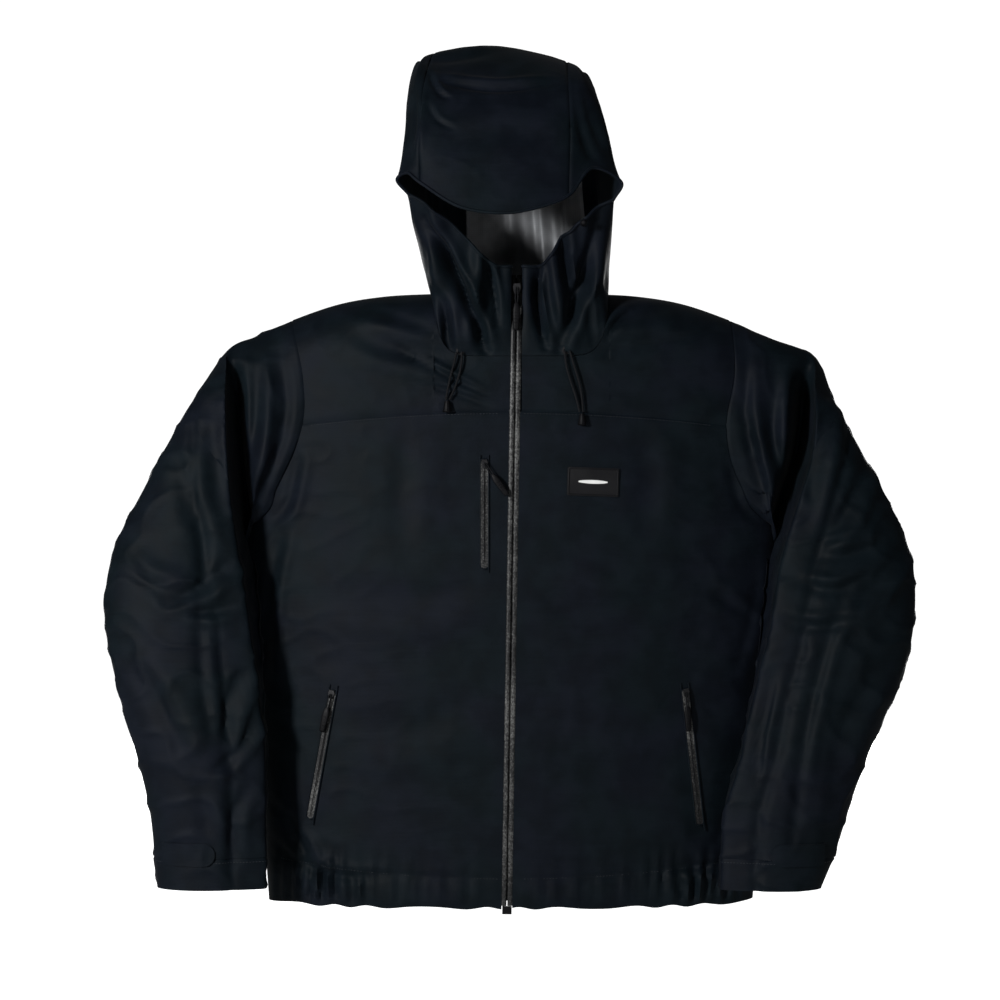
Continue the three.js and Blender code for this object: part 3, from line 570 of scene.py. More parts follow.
# Where the front of each sleeve folds over itself, beside the body: |x| by z.
FOLD_LINE = {
    "left": stations([[-681, 287], [-572, 288], [-505, 290], [-454, 297], [-390, 305], [-304, 319],
                     [-230, 330], [-144, 336], [-60, 339]]),
    "right": stations([[-681, 246], [-586, 252], [-535, 268], [-479, 279], [-393, 302], [-304, 318],
                      [-261, 330], [-170, 357], [-68, 362]]),
}
SLEEVE_FOLDS = {
    "left": [
        ([(-264, -234), (-290, -246), (-320, -240)], 3.5, 6, 0.9),
        ([(-270, -254), (-294, -262), (-316, -256)], 3, 5, 0.9),
        ([(-300, -70), (-300, -150), (-316, -230)], 5, 11, 0.9),
        ([(-268, -60), (-262, -140), (-292, -224), (-316, -262)], 4, 10, 0.9),
        ([(-352, -100), (-342, -190), (-334, -260)], 3, 14, 0.6),
        ([(-390, -170), (-372, -240), (-350, -300)], 3, 14, 0.7),
        ([(-318, -300), (-350, -330), (-392, -352)], 4, 10, 0.8),
        ([(-312, -352), (-342, -362), (-380, -360)], 3, 8, 0.8),
        ([(-455, -300), (-420, -330), (-380, -340)], 3, 13, 0.8),
        ([(-352, -250), (-356, -350), (-352, -450), (-340, -520)], 2.2, 9, 0.8),
        ([(-302, -420), (-322, -470), (-330, -530)], 4, 10, 0.9),
        ([(-292, -480), (-312, -520), (-344, -548)], 3, 8, 0.8),
        ([(-300, -560), (-318, -600), (-316, -650)], 3, 9, 0.8),
        ([(-440, -420), (-400, -470), (-372, -540)], 2.6, 16, 0.7),
        ([(-360, -540), (-350, -600), (-352, -660)], 2.0, 14, 0.6),
    ],
    "right": [
        ([(264, -214), (292, -232), (324, -226)], 3.5, 6, 0.9),
        ([(268, -240), (296, -252), (322, -246)], 3, 5, 0.9),
        ([(310, -80), (306, -160), (322, -240)], 5, 11, 0.9),
        ([(276, -60), (274, -140), (296, -224), (318, -262)], 4, 10, 0.9),
        ([(372, -110), (352, -190), (338, -262)], 4, 14, 0.8),
        ([(416, -190), (388, -244), (352, -296)], 4, 12, 0.8),
        ([(350, -300), (396, -296), (436, -280)], 3, 10, 0.8),
        ([(330, -330), (372, -338), (420, -318)], 3.5, 10, 0.8),
        ([(452, -290), (420, -330), (384, -352)], 3, 12, 0.8),
        ([(310, -372), (350, -380), (392, -372)], 3, 9, 0.8),
        ([(386, -330), (358, -410), (334, -510), (318, -640)], 2.6, 9, 0.8),
        ([(300, -430), (286, -500), (280, -560)], 3, 9, 0.8),
        ([(430, -420), (390, -480), (366, -560)], 2.4, 16, 0.7),
        ([(340, -540), (330, -600), (328, -660)], 2.0, 14, 0.6),
    ],
}
OVERHANG = 13 * MM
PROUD = 25 * MM
TRENCH = 62 * MM


def armhole_loop(side, angle):
    """The armhole's edge: the front half where sin(angle) is positive."""
    share = 0.5 + 0.5 * np.cos(angle)
    z = mix(ARMPIT_Z, SHOULDER_TOP_Z, share)
    x = SIGN[side] * armhole_x[side](z)
    y = np.where(np.sin(angle) >= 0, front_y(x, z), back_y(x, z))
    at_seam = (share > 0.999) | (share < 0.001)
    return np.stack([x, np.where(at_seam, MID_Y, y), z], -1)


def ring_points(side, place, angle):
    values = spline(SLEEVE_RINGS[side], place[:, 0])
    out_x, out_z, in_x, in_z, centre, depth, bow = (values[:, k, None] * MM for k in range(7))
    share = 0.5 + 0.5 * np.cos(angle)
    swell = np.sign(np.sin(angle)) * np.abs(np.sin(angle)) ** 0.85
    x = mix(in_x, out_x, share) - bow * np.sin(angle) ** 2
    return np.stack([SIGN[side] * x, MID_Y + centre - depth * swell, mix(in_z, out_z, share)], -1)


def sleeve_grid(side, start, end, rows, columns=128):
    """Fabric of the sleeve between two ring numbers."""
    s = SIGN[side]
    angle = np.linspace(0, 2 * np.pi, columns, endpoint=False)[None, :]
    place = np.linspace(start, end, rows)[:, None]
    grid = ring_points(side, place, angle)
    to_armhole = np.clip(1 - place, 0, 1) ** 2
    correction = armhole_loop(side, angle) - ring_points(side, np.zeros((1, 1)), angle)
    grid = grid + correction * to_armhole[..., None]
    # the front folds over itself beside the body
    across, z = s * grid[..., 0], grid[..., 2]
    front = smooth(np.sin(angle) / 0.35) * smooth((place - 0.9) / 1.6)
    d = (across - FOLD_LINE[side](z)) / OVERHANG
    lift = smooth((d + 1.0) / 1.7)
    inward = np.exp(-(((d - 0.75) / 0.72) ** 2)) * OVERHANG
    gap_at, gap_width = {"left": (1.05, 0.8), "right": (1.25, 1.05)}[side]
    trench = np.exp(-(((d + gap_at) / gap_width) ** 2)) * smooth((-0.062 - z) / 0.06)
    trench = trench * (1 - 0.8 * smooth((-0.25 - z) / 0.07))
    band = -0.16 * np.exp(-(((d - 2.6) / 0.5) ** 2))
    grid[..., 1] -= front * ((lift - 0.5 + band) * PROUD - trench * TRENCH)
    grid[..., 0] -= s * front * inward
    # creases
    calm = smooth(place / 0.5)
    relief = folds(grid, SLEEVE_FOLDS[side]) * smooth(np.sin(angle) / 0.3)
    relief = relief + wrinkles(grid, 31.0 + 5 * s, 0.9, 2.0)
    middle = grid.mean(1, keepdims=True)
    away = grid - middle
    away /= np.maximum(np.linalg.norm(away, axis=2, keepdims=True), 1e-9)
    grid = grid + away * (relief * calm * np.where(np.sin(angle) > 0, 1, 1.2))[..., None]
    return grid, place, angle


# ------------------------------------------------------------------ hood and collar shape
# Lines down the hood from the face opening, over the crown, to the back of the neck
# (x, y off the mid-plane, z); the last point of each is on the neck seam.
HOOD_LINES = {
    "low_left": [(-118, -96, 118), (-115, -70, 90), (-108, -48, 62), (-103, -30, 40), (-98, -18, 25),
                 (-94, -8, 16)],
    "tip_left": [(-131, -104, 133), (-124, -76, 175), (-120, -40, 232), (-112, -8, 258), (-104, 18, 205),
                 (-98, 30, 110)],
    "brim_left": [(-119, -114, 140), (-118, -92, 196), (-112, -70, 258), (-102, -22, 284), (-92, 30, 240),
                  (-84, 48, 140)],
    "seam_left": [(-104, -122, 128), (-105, -112, 190), (-99, -80, 256), (-88, -8, 296), (-70, 45, 262),
                  (-56, 68, 160)],
    "mid_left": [(-60, -137, 99), (-62, -121, 173), (-60, -86, 249), (-54, -4, 304), (-42, 54, 272),
                 (-30, 77, 166)],
    "centre": [(-12, -140, 91), (-14, -124, 170), (-16, -89, 244), (-18, -4, 306), (-10, 58, 276),
               (0, 80, 170)],
    "mid_right": [(28, -138, 97), (30, -121, 172), (28, -86, 249), (26, -4, 299), (26, 54, 268),
                  (32, 77, 166)],
    "seam_right": [(66, -128, 113), (68, -112, 190), (66, -80, 252), (66, -8, 286), (58, 45, 256),
                   (62, 68, 160)],
    "brim_right": [(92, -116, 145), (94, -96, 200), (88, -72, 250), (80, -22, 272), (76, 30, 232),
                   (80, 48, 140)],
    "tip_right": [(126, -104, 131), (116, -76, 170), (104, -40, 222), (96, -8, 244), (96, 18, 200),
                  (104, 30, 110)],
    "low_right": [(118, -96, 112), (118, -70, 90), (117, -48, 62), (116, -30, 40), (116, -18, 25),
                  (115, -8, 16)],
}
NAPE_X = [-90, -84, -72, -50, -18, 12, 44, 72, 96, 108, 114]
LEFT_SEAM, RIGHT_SEAM, LAST_LINE = 3, 7, 10          # line numbers, from the wearer's right to left
HOOD_ROWS = 170


def nape_point(x):
    """End of a hood line on the neck seam behind, in millimetres."""
    x = x * MM
    z = float(neck_back_z(min(abs(x - NECK_X) / NECK_HALF, 1)))
    on_shoulder = abs(x - NECK_X) >= NECK_HALF - 1e-6
    y = MID_Y if on_shoulder else float(back_y(np.array([[x]]), np.array([[z]]))[0, 0])
    return [x / MM, y / MM, z / MM]


def hood_net():
    """Control points of the hood, [row][line], in millimetres."""
    lines = [[(x, y + MID_Y / MM, z) for x, y, z in line] + [nape_point(x_end)]
             for line, x_end in zip(HOOD_LINES.values(), NAPE_X)]
    return np.array(lines, float).transpose(1, 0, 2)     # [row][line]


HOOD_FOLDS = [
    ([(-92, 150), (-60, 176), (-10, 186), (50, 172)], 1.2, 18, 0.8),
    ([(-86, 250), (-20, 240), (50, 247)], 3.2, 6, 0.9),
    ([(-96, 262), (-84, 236), (-70, 226)], 2.4, 4, 0.8),
    ([(-96, 220), (-84, 200), (-66, 190)], 1.6, 4, 0.8),
    ([(86, 236), (92, 200), (104, 160)], 3.5, 9, 0.9),
    ([(74, 226), (84, 180), (96, 150)], 2.5, 8, 0.9),
    ([(-112, 250), (-112, 200), (-116, 160)], 2.5, 7, 0.8),
    ([(-100, 276), (-60, 284), (-20, 292)], 2.0, 9, 0.8),
]


def hood_grid(first, last):
    """Fabric of the hood between two of its lines."""
    columns = np.linspace(first, last, count(0.045 * (last - first)) + 1)
    grid = net_surface(hood_net(), np.linspace(0, 6, HOOD_ROWS), columns)
    normals = normals_of(grid, HOOD_MIDDLE)
    row = np.linspace(0, 6, HOOD_ROWS)[:, None]
    line = columns[None, :]
    calm = smooth(row / 0.25) * smooth((6 - row) / 0.5)
    calm = calm * smooth(line / 0.4) * smooth((LAST_LINE - line) / 0.4)
    facing = smooth(-normals[..., 1] / 0.5)
    nape = smooth((row - 4.0) / 1.2)
    pleats = np.sin(line * 5.2 + 0.8 * row) + 0.5 * np.sin(line * 11.0 - row)
    relief = folds(grid, HOOD_FOLDS) * facing + wrinkles(grid, 51.0, 0.35) + nape * pleats * 2.0 * MM
    return grid + normals * (relief * calm)[..., None]


def coons(low, high, start, end):
    """Surface stretched between four edges; low and high have columns, start and end rows."""
    u = np.linspace(0, 1, len(low))[None, :, None]
    v = np.linspace(0, 1, len(start))[:, None, None]
    rise = mix(low[None], high[None], v)
    side = mix(start[:, None], end[:, None], u)
    corners = mix(mix(low[0], low[-1], u), mix(high[0], high[-1], u), v)
    return rise + side - corners


COLLAR_OPENING = {
    "left": [(-20, -82, 38), (-46, -93, 60), (-84, -99, 96)],
    "right": [(36, -82, 38), (56, -94, 62), (86, -98, 92)],
}


COLLAR_FOLDS = {
    "left": [([(-99, 89), (-74, 46), (-47, -9), (-30, -60)], 13, 8, 0.35),
             ([(-88, 20), (-78, -20), (-70, -62)], 7, 8, 0.4),
             ([(-34, 52), (-22, 20), (-16, -30)], 4, 5, 0.5)],
    "right": [([(30, 40), (29, 0), (40, -56)], 11, 6, 0.4),
              ([(96, 92), (88, 40), (70, -14), (58, -58)], 11, 9, 0.35),
              ([(60, 84), (62, 40), (70, 0)], 5, 6, 0.5)],
}


def collar_grid(side):
    """Half of the collar, between the neck seam, the zip and the hood's edge."""
    s = SIGN[side]
    share = neck_share(side, NECK_COLUMNS, ZIP_HALF)
    x = NECK_X + s * NECK_HALF * share
    z = neck_front_z(share)
    z = np.minimum(z, shoulder_z(np.abs(x)))
    low = front_points(x, z)
    low[-1, 1] = MID_Y
    column = 0 if side == "left" else LAST_LINE
    edge = net_surface(hood_net(), np.linspace(0, 6, HOOD_ROWS), np.array([column, column]))[::-1, 0]
    chin = np.array([zip_x(CHIN_Z) + s * ZIP_HALF, MID_Y - FRONT_DEPTH, CHIN_Z])
    inner = [[px * MM, MID_Y + py * MM, pz * MM] for px, py, pz in COLLAR_OPENING[side]]
    high = spline(np.vstack([chin, inner, edge[-1]]), NECK_COLUMNS)
    high[0] = chin
    start = mix(low[0], chin, np.linspace(0, 1, HOOD_ROWS)[:, None])
    grid = coons(low, high, start, edge)
    normals = normals_of(grid, COLLAR_MIDDLE)
    u = np.linspace(0, 1, NECK_COLUMNS)[None, :]
    v = np.linspace(0, 1, HOOD_ROWS)[:, None]
    hold = np.sin(np.pi * u) ** 0.7 * (0.25 + 0.75 * smooth(v / 0.5)) * smooth(v / 0.1)
    phase = 0.6 if side == "left" else 1.4
    deep = folds(grid, COLLAR_FOLDS[side]) * smooth(u / 0.12) * smooth((1 - u) / 0.12)
    pleats = np.sin(2 * np.pi * (u * 2.6 + 0.12 * v) + phase)
    pleats = pleats + 0.45 * np.sin(2 * np.pi * (u * 5.3 - 0.2 * v) + 2)
    belly = 10 * MM * np.sin(np.pi * u) * np.sin(np.pi * v)
    relief = hold * pleats * 5.0 * MM + deep + belly + wrinkles(grid, 61 + s, 0.4) * hold
    return grid + normals * relief[..., None]


# ------------------------------------------------------------------ materials
def tree(name):
    """A new material with a Principled shader: material, nodes, links, shader."""
    material = bpy.data.materials.new(name)
    material.use_nodes = True
    nodes = material.node_tree.nodes
    nodes.clear()
    out = nodes.new("ShaderNodeOutputMaterial")
    shader = nodes.new("ShaderNodeBsdfPrincipled")
    material.node_tree.links.new(shader.outputs[0], out.inputs[0])
    return material, nodes, material.node_tree.links, shader


def node(nodes, links, kind, inputs=None, **settings):
    made = nodes.new(kind)
    for key, value in settings.items():
        setattr(made, key, value)
    for key, value in (inputs or {}).items():
        if isinstance(value, bpy.types.NodeSocket):
            links.new(value, made.inputs[key])
        else:
            made.inputs[key].default_value = value
    return made


def ramp(nodes, links, source, stops):
    """Colour ramp over a value, from (place, colour) pairs."""
    made = node(nodes, links, "ShaderNodeValToRGB", {0: source})
    elements = made.color_ramp.elements
    while len(elements) < len(stops):
        elements.new(0.5)
    for element, (place, colour) in zip(elements, stops):
        element.position = place
        element.color = (*colour, 1.0)
    return made.outputs[0]


def shell_material():
    """Matt woven face fabric, near-black navy: fine ribs, soft crumple, faint sheen."""
    material, nodes, links, shader = tree("shell_fabric")
    place = nodes.new("ShaderNodeTexCoord").outputs["Object"]
    ribs = node(nodes, links, "ShaderNodeTexWave",
                {"Vector": place, "Scale": 210.0, "Distortion": 1.2, "Detail": 2.0, "Detail Scale": 2.0},
                wave_type="BANDS", bands_direction="Z")
    ends = node(nodes, links, "ShaderNodeTexWave",
                {"Vector": place, "Scale": 260.0, "Distortion": 1.5, "Detail": 2.0},
                wave_type="BANDS", bands_direction="X")
    slub = node(nodes, links, "ShaderNodeTexNoise", {"Vector": place, "Scale": 34.0, "Detail": 6.0})
    stretched = node(nodes, links, "ShaderNodeMapping", {"Vector": place, "Scale": (30.0, 30.0, 900.0)})
    streak = node(nodes, links, "ShaderNodeTexNoise",
                  {"Vector": stretched.outputs[0], "Scale": 1.0, "Detail": 3.0})
    crumple = node(nodes, links, "ShaderNodeTexNoise",
                   {"Vector": place, "Scale": 60.0, "Detail": 4.0, "Roughness": 0.6})
    tone = node(nodes, links, "ShaderNodeMath", {0: streak.outputs[0], 1: 0.3, 2: slub.outputs[0]},
                operation="MULTIPLY_ADD")
    colour = ramp(nodes, links, tone.outputs[0],
                  [(0.53, (0.0023, 0.0040, 0.0064)), (0.65, (0.0029, 0.0050, 0.0079)),
                   (0.77, (0.0038, 0.0062, 0.0097))])
    cast = node(nodes, links, "ShaderNodeTexNoise", {"Vector": place, "Scale": 9.0, "Detail": 3.0})
    shift = ramp(nodes, links, cast.outputs[0], [(0.42, (0.84, 0.97, 0.86)), (0.60, (1.06, 0.92, 1.00))])
    tinted = node(nodes, links, "ShaderNodeMix", {0: 1.0, 6: colour, 7: shift},
                  data_type="RGBA", blend_type="MULTIPLY")
    links.new(tinted.outputs[2], shader.inputs["Base Color"])
    rough = node(nodes, links, "ShaderNodeMapRange",
                 {"Value": slub.outputs[0], "To Min": 0.50, "To Max": 0.66})
    links.new(rough.outputs[0], shader.inputs["Roughness"])
    shader.inputs["Specular IOR Level"].default_value = 0.055
    shader.inputs["Sheen Weight"].default_value = 0.015
    shader.inputs["Sheen Roughness"].default_value = 0.4
    weave = node(nodes, links, "ShaderNodeMath", {0: ribs.outputs[1], 1: ends.outputs[1]}, operation="ADD")
    fine = node(nodes, links, "ShaderNodeBump",
                {"Strength": 0.22, "Distance": 0.00018, "Height": weave.outputs[0]})
    soft = node(nodes, links, "ShaderNodeBump",
                {"Strength": 0.35, "Distance": 0.0012, "Height": crumple.outputs[0],
                 "Normal": fine.outputs[0]})
    links.new(soft.outputs[0], shader.inputs["Normal"])
    return material


def lining_material():
    """Smooth silver-grey backer with a faint printed grid."""
    material, nodes, links, shader = tree("lining")
    place = nodes.new("ShaderNodeTexCoord").outputs["Object"]
    cloud = node(nodes, links, "ShaderNodeTexNoise", {"Vector": place, "Scale": 22.0, "Detail": 5.0})
    rows = node(nodes, links, "ShaderNodeTexWave", {"Vector": place, "Scale": 120.0},
                wave_type="BANDS", bands_direction="Z")
    columns = node(nodes, links, "ShaderNodeTexWave", {"Vector": place, "Scale": 120.0},
                   wave_type="BANDS", bands_direction="X")
    cells = node(nodes, links, "ShaderNodeMath", {0: rows.outputs[1], 1: columns.outputs[1]},
                 operation="MULTIPLY")
    base = ramp(nodes, links, cloud.outputs[0], [(0.3, (0.15, 0.155, 0.165)), (0.7, (0.34, 0.35, 0.365))])
    tint = node(nodes, links, "ShaderNodeMix", {0: 0.18, 6: base, 7: cells.outputs[0]},
                data_type="RGBA", blend_type="MULTIPLY")
    links.new(tint.outputs[2], shader.inputs["Base Color"])
    shader.inputs["Roughness"].default_value = 0.34
    shader.inputs["Metallic"].default_value = 0.35
    bump = node(nodes, links, "ShaderNodeBump",
                {"Strength": 0.4, "Distance": 0.0015, "Height": cloud.outputs[0]})
    links.new(bump.outputs[0], shader.inputs["Normal"])
    return material


def coated_zip_material():
    """Glossy coated zip tape: dark film with worn, light speckles."""
    material, nodes, links, shader = tree("coated_zip")
    place = nodes.new("ShaderNodeTexCoord").outputs["Object"]
    specks = node(nodes, links, "ShaderNodeTexNoise",
                  {"Vector": place, "Scale": 480.0, "Detail": 3.0, "Roughness": 0.7})
    patches = node(nodes, links, "ShaderNodeTexNoise", {"Vector": place, "Scale": 9.0, "Detail": 3.0})
    both = node(nodes, links, "ShaderNodeMath", {0: specks.outputs[0], 1: patches.outputs[0]},
                operation="ADD")
    half = node(nodes, links, "ShaderNodeMath", {0: both.outputs[0], 1: 0.5}, operation="MULTIPLY")
    colour = ramp(nodes, links, half.outputs[0],
                  [(0.42, (0.003, 0.003, 0.0035)), (0.50, (0.016, 0.0165, 0.017)),
                  (0.60, (0.10, 0.10, 0.098))])
    links.new(colour, shader.inputs["Base Color"])
    shader.inputs["Roughness"].default_value = 0.40
    shader.inputs["Specular IOR Level"].default_value = 0.2
    bump = node(nodes, links, "ShaderNodeBump",
                {"Strength": 0.5, "Distance": 0.0002, "Height": specks.outputs[0]})
    links.new(bump.outputs[0], shader.inputs["Normal"])
    return material


def plain_material(name, dark, light, roughness, grain, metallic=0.0, specular=0.4, bump=0.3, depth=0.0002):
    """A hard or braided finish whose tone, gloss and surface vary with a fine grain."""
    material, nodes, links, shader = tree(name)
    place = nodes.new("ShaderNodeTexCoord").outputs["Object"]
    fine = node(nodes, links, "ShaderNodeTexNoise", {"Vector": place, "Scale": grain, "Detail": 5.0})
    broad = node(nodes, links, "ShaderNodeTexNoise", {"Vector": place, "Scale": grain / 18, "Detail": 2.0})
    colour = ramp(nodes, links, broad.outputs[0], [(0.35, dark), (0.65, light)])
    links.new(colour, shader.inputs["Base Color"])
    rough = node(nodes, links, "ShaderNodeMapRange",
                 {"Value": fine.outputs[0], "To Min": roughness - 0.08, "To Max": roughness + 0.08})
    links.new(rough.outputs[0], shader.inputs["Roughness"])
    shader.inputs["Metallic"].default_value = metallic
    shader.inputs["Specular IOR Level"].default_value = specular
    relief = node(nodes, links, "ShaderNodeBump",
                  {"Strength": bump, "Distance": depth, "Height": fine.outputs[0]})
    links.new(relief.outputs[0], shader.inputs["Normal"])
    return material


def braid_material():
    """Round braided cord: two crossing sets of fine diagonal strands."""
    material, nodes, links, shader = tree("cord")
    place = nodes.new("ShaderNodeTexCoord").outputs["Object"]
    heights = []
    for turn in (1, -1):
        tilted = node(nodes, links, "ShaderNodeMapping",
                      {"Vector": place, "Rotation": (0.0, turn * math.radians(38), 0.0)})
        strands = node(nodes, links, "ShaderNodeTexWave", {"Vector": tilted.outputs[0], "Scale": 420.0},
                       wave_type="BANDS", bands_direction="Z")
        heights.append(strands.outputs[1])
    braid = node(nodes, links, "ShaderNodeMath", {0: heights[0], 1: heights[1]}, operation="MAXIMUM")
    colour = ramp(nodes, links, braid.outputs[0],
                  [(0.2, (0.0015, 0.0015, 0.002)), (0.9, (0.006, 0.0065, 0.008))])
    links.new(colour, shader.inputs["Base Color"])
    shader.inputs["Roughness"].default_value = 0.85
    shader.inputs["Specular IOR Level"].default_value = 0.15
    bump = node(nodes, links, "ShaderNodeBump",
                {"Strength": 0.6, "Distance": 0.0003, "Height": braid.outputs[0]})
    links.new(bump.outputs[0], shader.inputs["Normal"])
    return material


shell = shell_material()
lining = lining_material()
coated_zip = coated_zip_material()
cord = braid_material()
dark_metal = plain_material("dark_metal", (0.006, 0.006, 0.007), (0.020, 0.020, 0.022), 0.4, 900.0,
                            metallic=0.6)
moulded = plain_material("moulded_black", (0.0015, 0.0015, 0.002), (0.003, 0.003, 0.004), 0.5, 700.0,
                         specular=0.1)
webbing = plain_material("webbing", (0.006, 0.006, 0.008), (0.014, 0.015, 0.018), 0.75, 1400.0, bump=0.8)
rubber = plain_material("patch_rubber", (0.004, 0.004, 0.005), (0.008, 0.008, 0.009), 0.6, 500.0,
                        specular=0.12)
print_white = plain_material("patch_print", (0.62, 0.62, 0.61), (0.76, 0.76, 0.75), 0.5, 600.0)
thread = plain_material("thread", (0.004, 0.006, 0.009), (0.010, 0.013, 0.019), 0.6, 1500.0, bump=0.6)


def cloth(name, grid, inside, replaces, edges=(), closed=False, facing=None):
    """A piece of shell fabric that stands for the named nodes, its listed edges tucked in."""
    normals = normals_of(grid, inside, closed)
    behind = softened(normals, closed)
    obj = skin(name, tuck(grid, normals, edges), behind, [shell, lining], closed=closed, facing=facing)
    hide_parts(*replaces)
    return obj


for side in ("left", "right"):
    panel = cloth(f"{side}_front", front_panel(side), BODY_MIDDLE, [f"{side}_front_panel"], ("high",))
    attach(panel, "shell")
    yoke = cloth(f"{side}_yoke", front_yoke(side), BODY_MIDDLE, [f"{side}_front_yoke"], ("low",))
    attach(yoke, "shell")
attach(cloth("back", back_panel(), BODY_MIDDLE, ["back_panel"], ("high",)), "shell")
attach(cloth("back_shoulders", back_yoke(), BODY_MIDDLE, ["back_yoke"], ("low",)), "shell")


CAP_ROWS, SLEEVE_ROWS, CUFF_ROWS = 62, 160, 14
SLEEVE_FACING_ROWS = 146                 # rows from the cap that are shell cloth inside, too
# Inside the collar, this dark shell cloth is partly a facing and partly painted shade.
COLLAR_FACING_AND_PAINTED_SHADE_ROWS = 115                 # the same from the neck seam
for side in ("left", "right"):
    s = SIGN[side]
    grid, place, angle = sleeve_grid(side, 0, CAP_END, CAP_ROWS)
    cap = cloth(f"{side}_cap", grid, grid.mean((0, 1)), [f"{side}_sleeve_cap"], ("low",), closed=True,
                facing=lambda j, i: j >= 0)
    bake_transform(cap)
    grid, place, angle = sleeve_grid(side, CAP_END, CUFF_START, SLEEVE_ROWS)
    arm = cloth(f"{side}_sleeve", grid, grid.mean((0, 1)), [f"{side}_upper_sleeve", f"{side}_forearm"],
                closed=True, facing=lambda j, i: j < SLEEVE_FACING_ROWS)
    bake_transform(arm)
    grid, place, angle = sleeve_grid(side, CUFF_START, CUFF_END, CUFF_ROWS)
    cuff = cloth(f"{side}_cuff_band", grid, grid.mean((0, 1)), [f"{side}_cuff"], ("low",), closed=True)
    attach(cuff, f"{side}_lower_arm")


def hood_piece(name, grid, replaces, edges, facing=None):
    obj = cloth(name, grid, HOOD_MIDDLE, replaces, edges, facing=facing)
    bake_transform(obj)
    return obj


# Rows of dark shell cloth inside each panel, and the share of its width where the lining starts: partly a
# turned-back facing, partly painted shade inside the hood.
HOOD_FACING_AND_PAINTED_SHADE = {"hood_left": (HOOD_ROWS, 1), "hood_centre": (9, 1), "hood_right": (30, 0.42)}
for name, first, last, replaced, edges in (
        ("hood_left", 0, LEFT_SEAM, "left_hood_side", ("end",)),
        ("hood_centre", LEFT_SEAM, RIGHT_SEAM, "hood_centre_panel", ("start", "end")),
        ("hood_right", RIGHT_SEAM, LAST_LINE, "right_hood_side", ("start",))):
    grid = hood_grid(first, last)
    rows, lines = HOOD_FACING_AND_PAINTED_SHADE[name]
    reach = lines * grid.shape[1]
    hood_piece(name, grid, [replaced], edges,
               lambda j, i, r=rows, c=reach: (j < r) | (i > c))
for side in ("left", "right"):
    grid = collar_grid(side)
    # dark shell inside the collar's lower rows: partly a facing, partly painted shade
    obj = cloth(f"{side}_neck", grid, COLLAR_MIDDLE, [f"{side}_collar"], ("low",),
                facing=lambda j, i: j < COLLAR_FACING_AND_PAINTED_SHADE_ROWS)
    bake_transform(obj)


# ------------------------------------------------------------------ zips and pulls
def front_spot(x_mm, z_mm, proud=0.0):
    """Point on the jacket's front at millimetre coordinates, raised off the cloth."""
    x, z = np.array([[x_mm * MM]]), np.array([[z_mm * MM]])
    return np.array([x_mm * MM, front_y(x, z)[0, 0] - proud, z_mm * MM])


def front_normal(x_mm, z_mm, reach=4):
    """Outward direction of the front around a spot."""
    along_x = front_spot(x_mm + reach, z_mm) - front_spot(x_mm - reach, z_mm)
    along_z = front_spot(x_mm, z_mm + reach) - front_spot(x_mm, z_mm - reach)
    normal = np.cross(along_x, along_z)
    return normal / np.linalg.norm(normal)


def main_zip_half(side):
    """Coated tape of the front zip, slightly domed, from the hem to the chin."""
    s = SIGN[side]
    rows = count(CHIN_Z - HEM_Z)
    v = np.linspace(0, 1, rows)[:, None]
    z = mix(HEM_Z + 3 * MM, CHIN_Z - 3 * MM, v)
    across = np.array([0.45, 1.1, 2.4, 3.8, 5.2, 6.4])[None, :] * MM
    dome = np.array([-0.9, 0.45, 0.9, 0.9, 0.55, -0.5])[None, :] * MM
    x = zip_x(z) + s * across
    y = front_y(zip_x(z) + 0 * x, z + 0 * x) - dome - 0.12 * MM * np.sin(z / 0.0016)
    grid = np.stack([x, y, z + 0 * x], -1)
    obj = skin(f"main_zip_tape_{side}", grid, normals_of(grid, BODY_MIDDLE), [coated_zip], thickness=1.0 * MM)
    obj.data.polygons.foreach_set("material_index", np.zeros(len(obj.data.polygons), np.int32))
    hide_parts(f"main_zip_{side}_half")
    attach(obj, "shell")


for side in ("left", "right"):
    main_zip_half(side)


def frame_at(origin, up, outward):
    """Turns local (across, out, up) coordinates into place."""
    up = np.array(up, float) / np.linalg.norm(up)
    across = np.cross(outward, up)
    across /= np.linalg.norm(across)
    forward = np.cross(up, across)
    return np.array(origin), np.stack([across, forward, up])


def placed(points, frame_of):
    origin, axes = frame_of
    return origin + np.asarray(points) @ axes


def lofted(sections):
    """Rounded solid through sections (z, half width, half thickness, centre out), in metres."""
    angles = np.linspace(0, 2 * np.pi, 16, endpoint=False)
    power = 0.62
    cx = np.sign(np.cos(angles)) * np.abs(np.cos(angles)) ** power
    cy = np.sign(np.sin(angles)) * np.abs(np.sin(angles)) ** power
    rings = [np.stack([w * cx, c + t * cy, np.full(16, z)], 1) for z, w, t, c in sections]
    faces = [list(f) for f in grid_faces(len(rings), 16, True)]
    faces += [list(range(16))[::-1], list(range((len(rings) - 1) * 16, len(rings) * 16))]
    return np.vstack(rings), faces


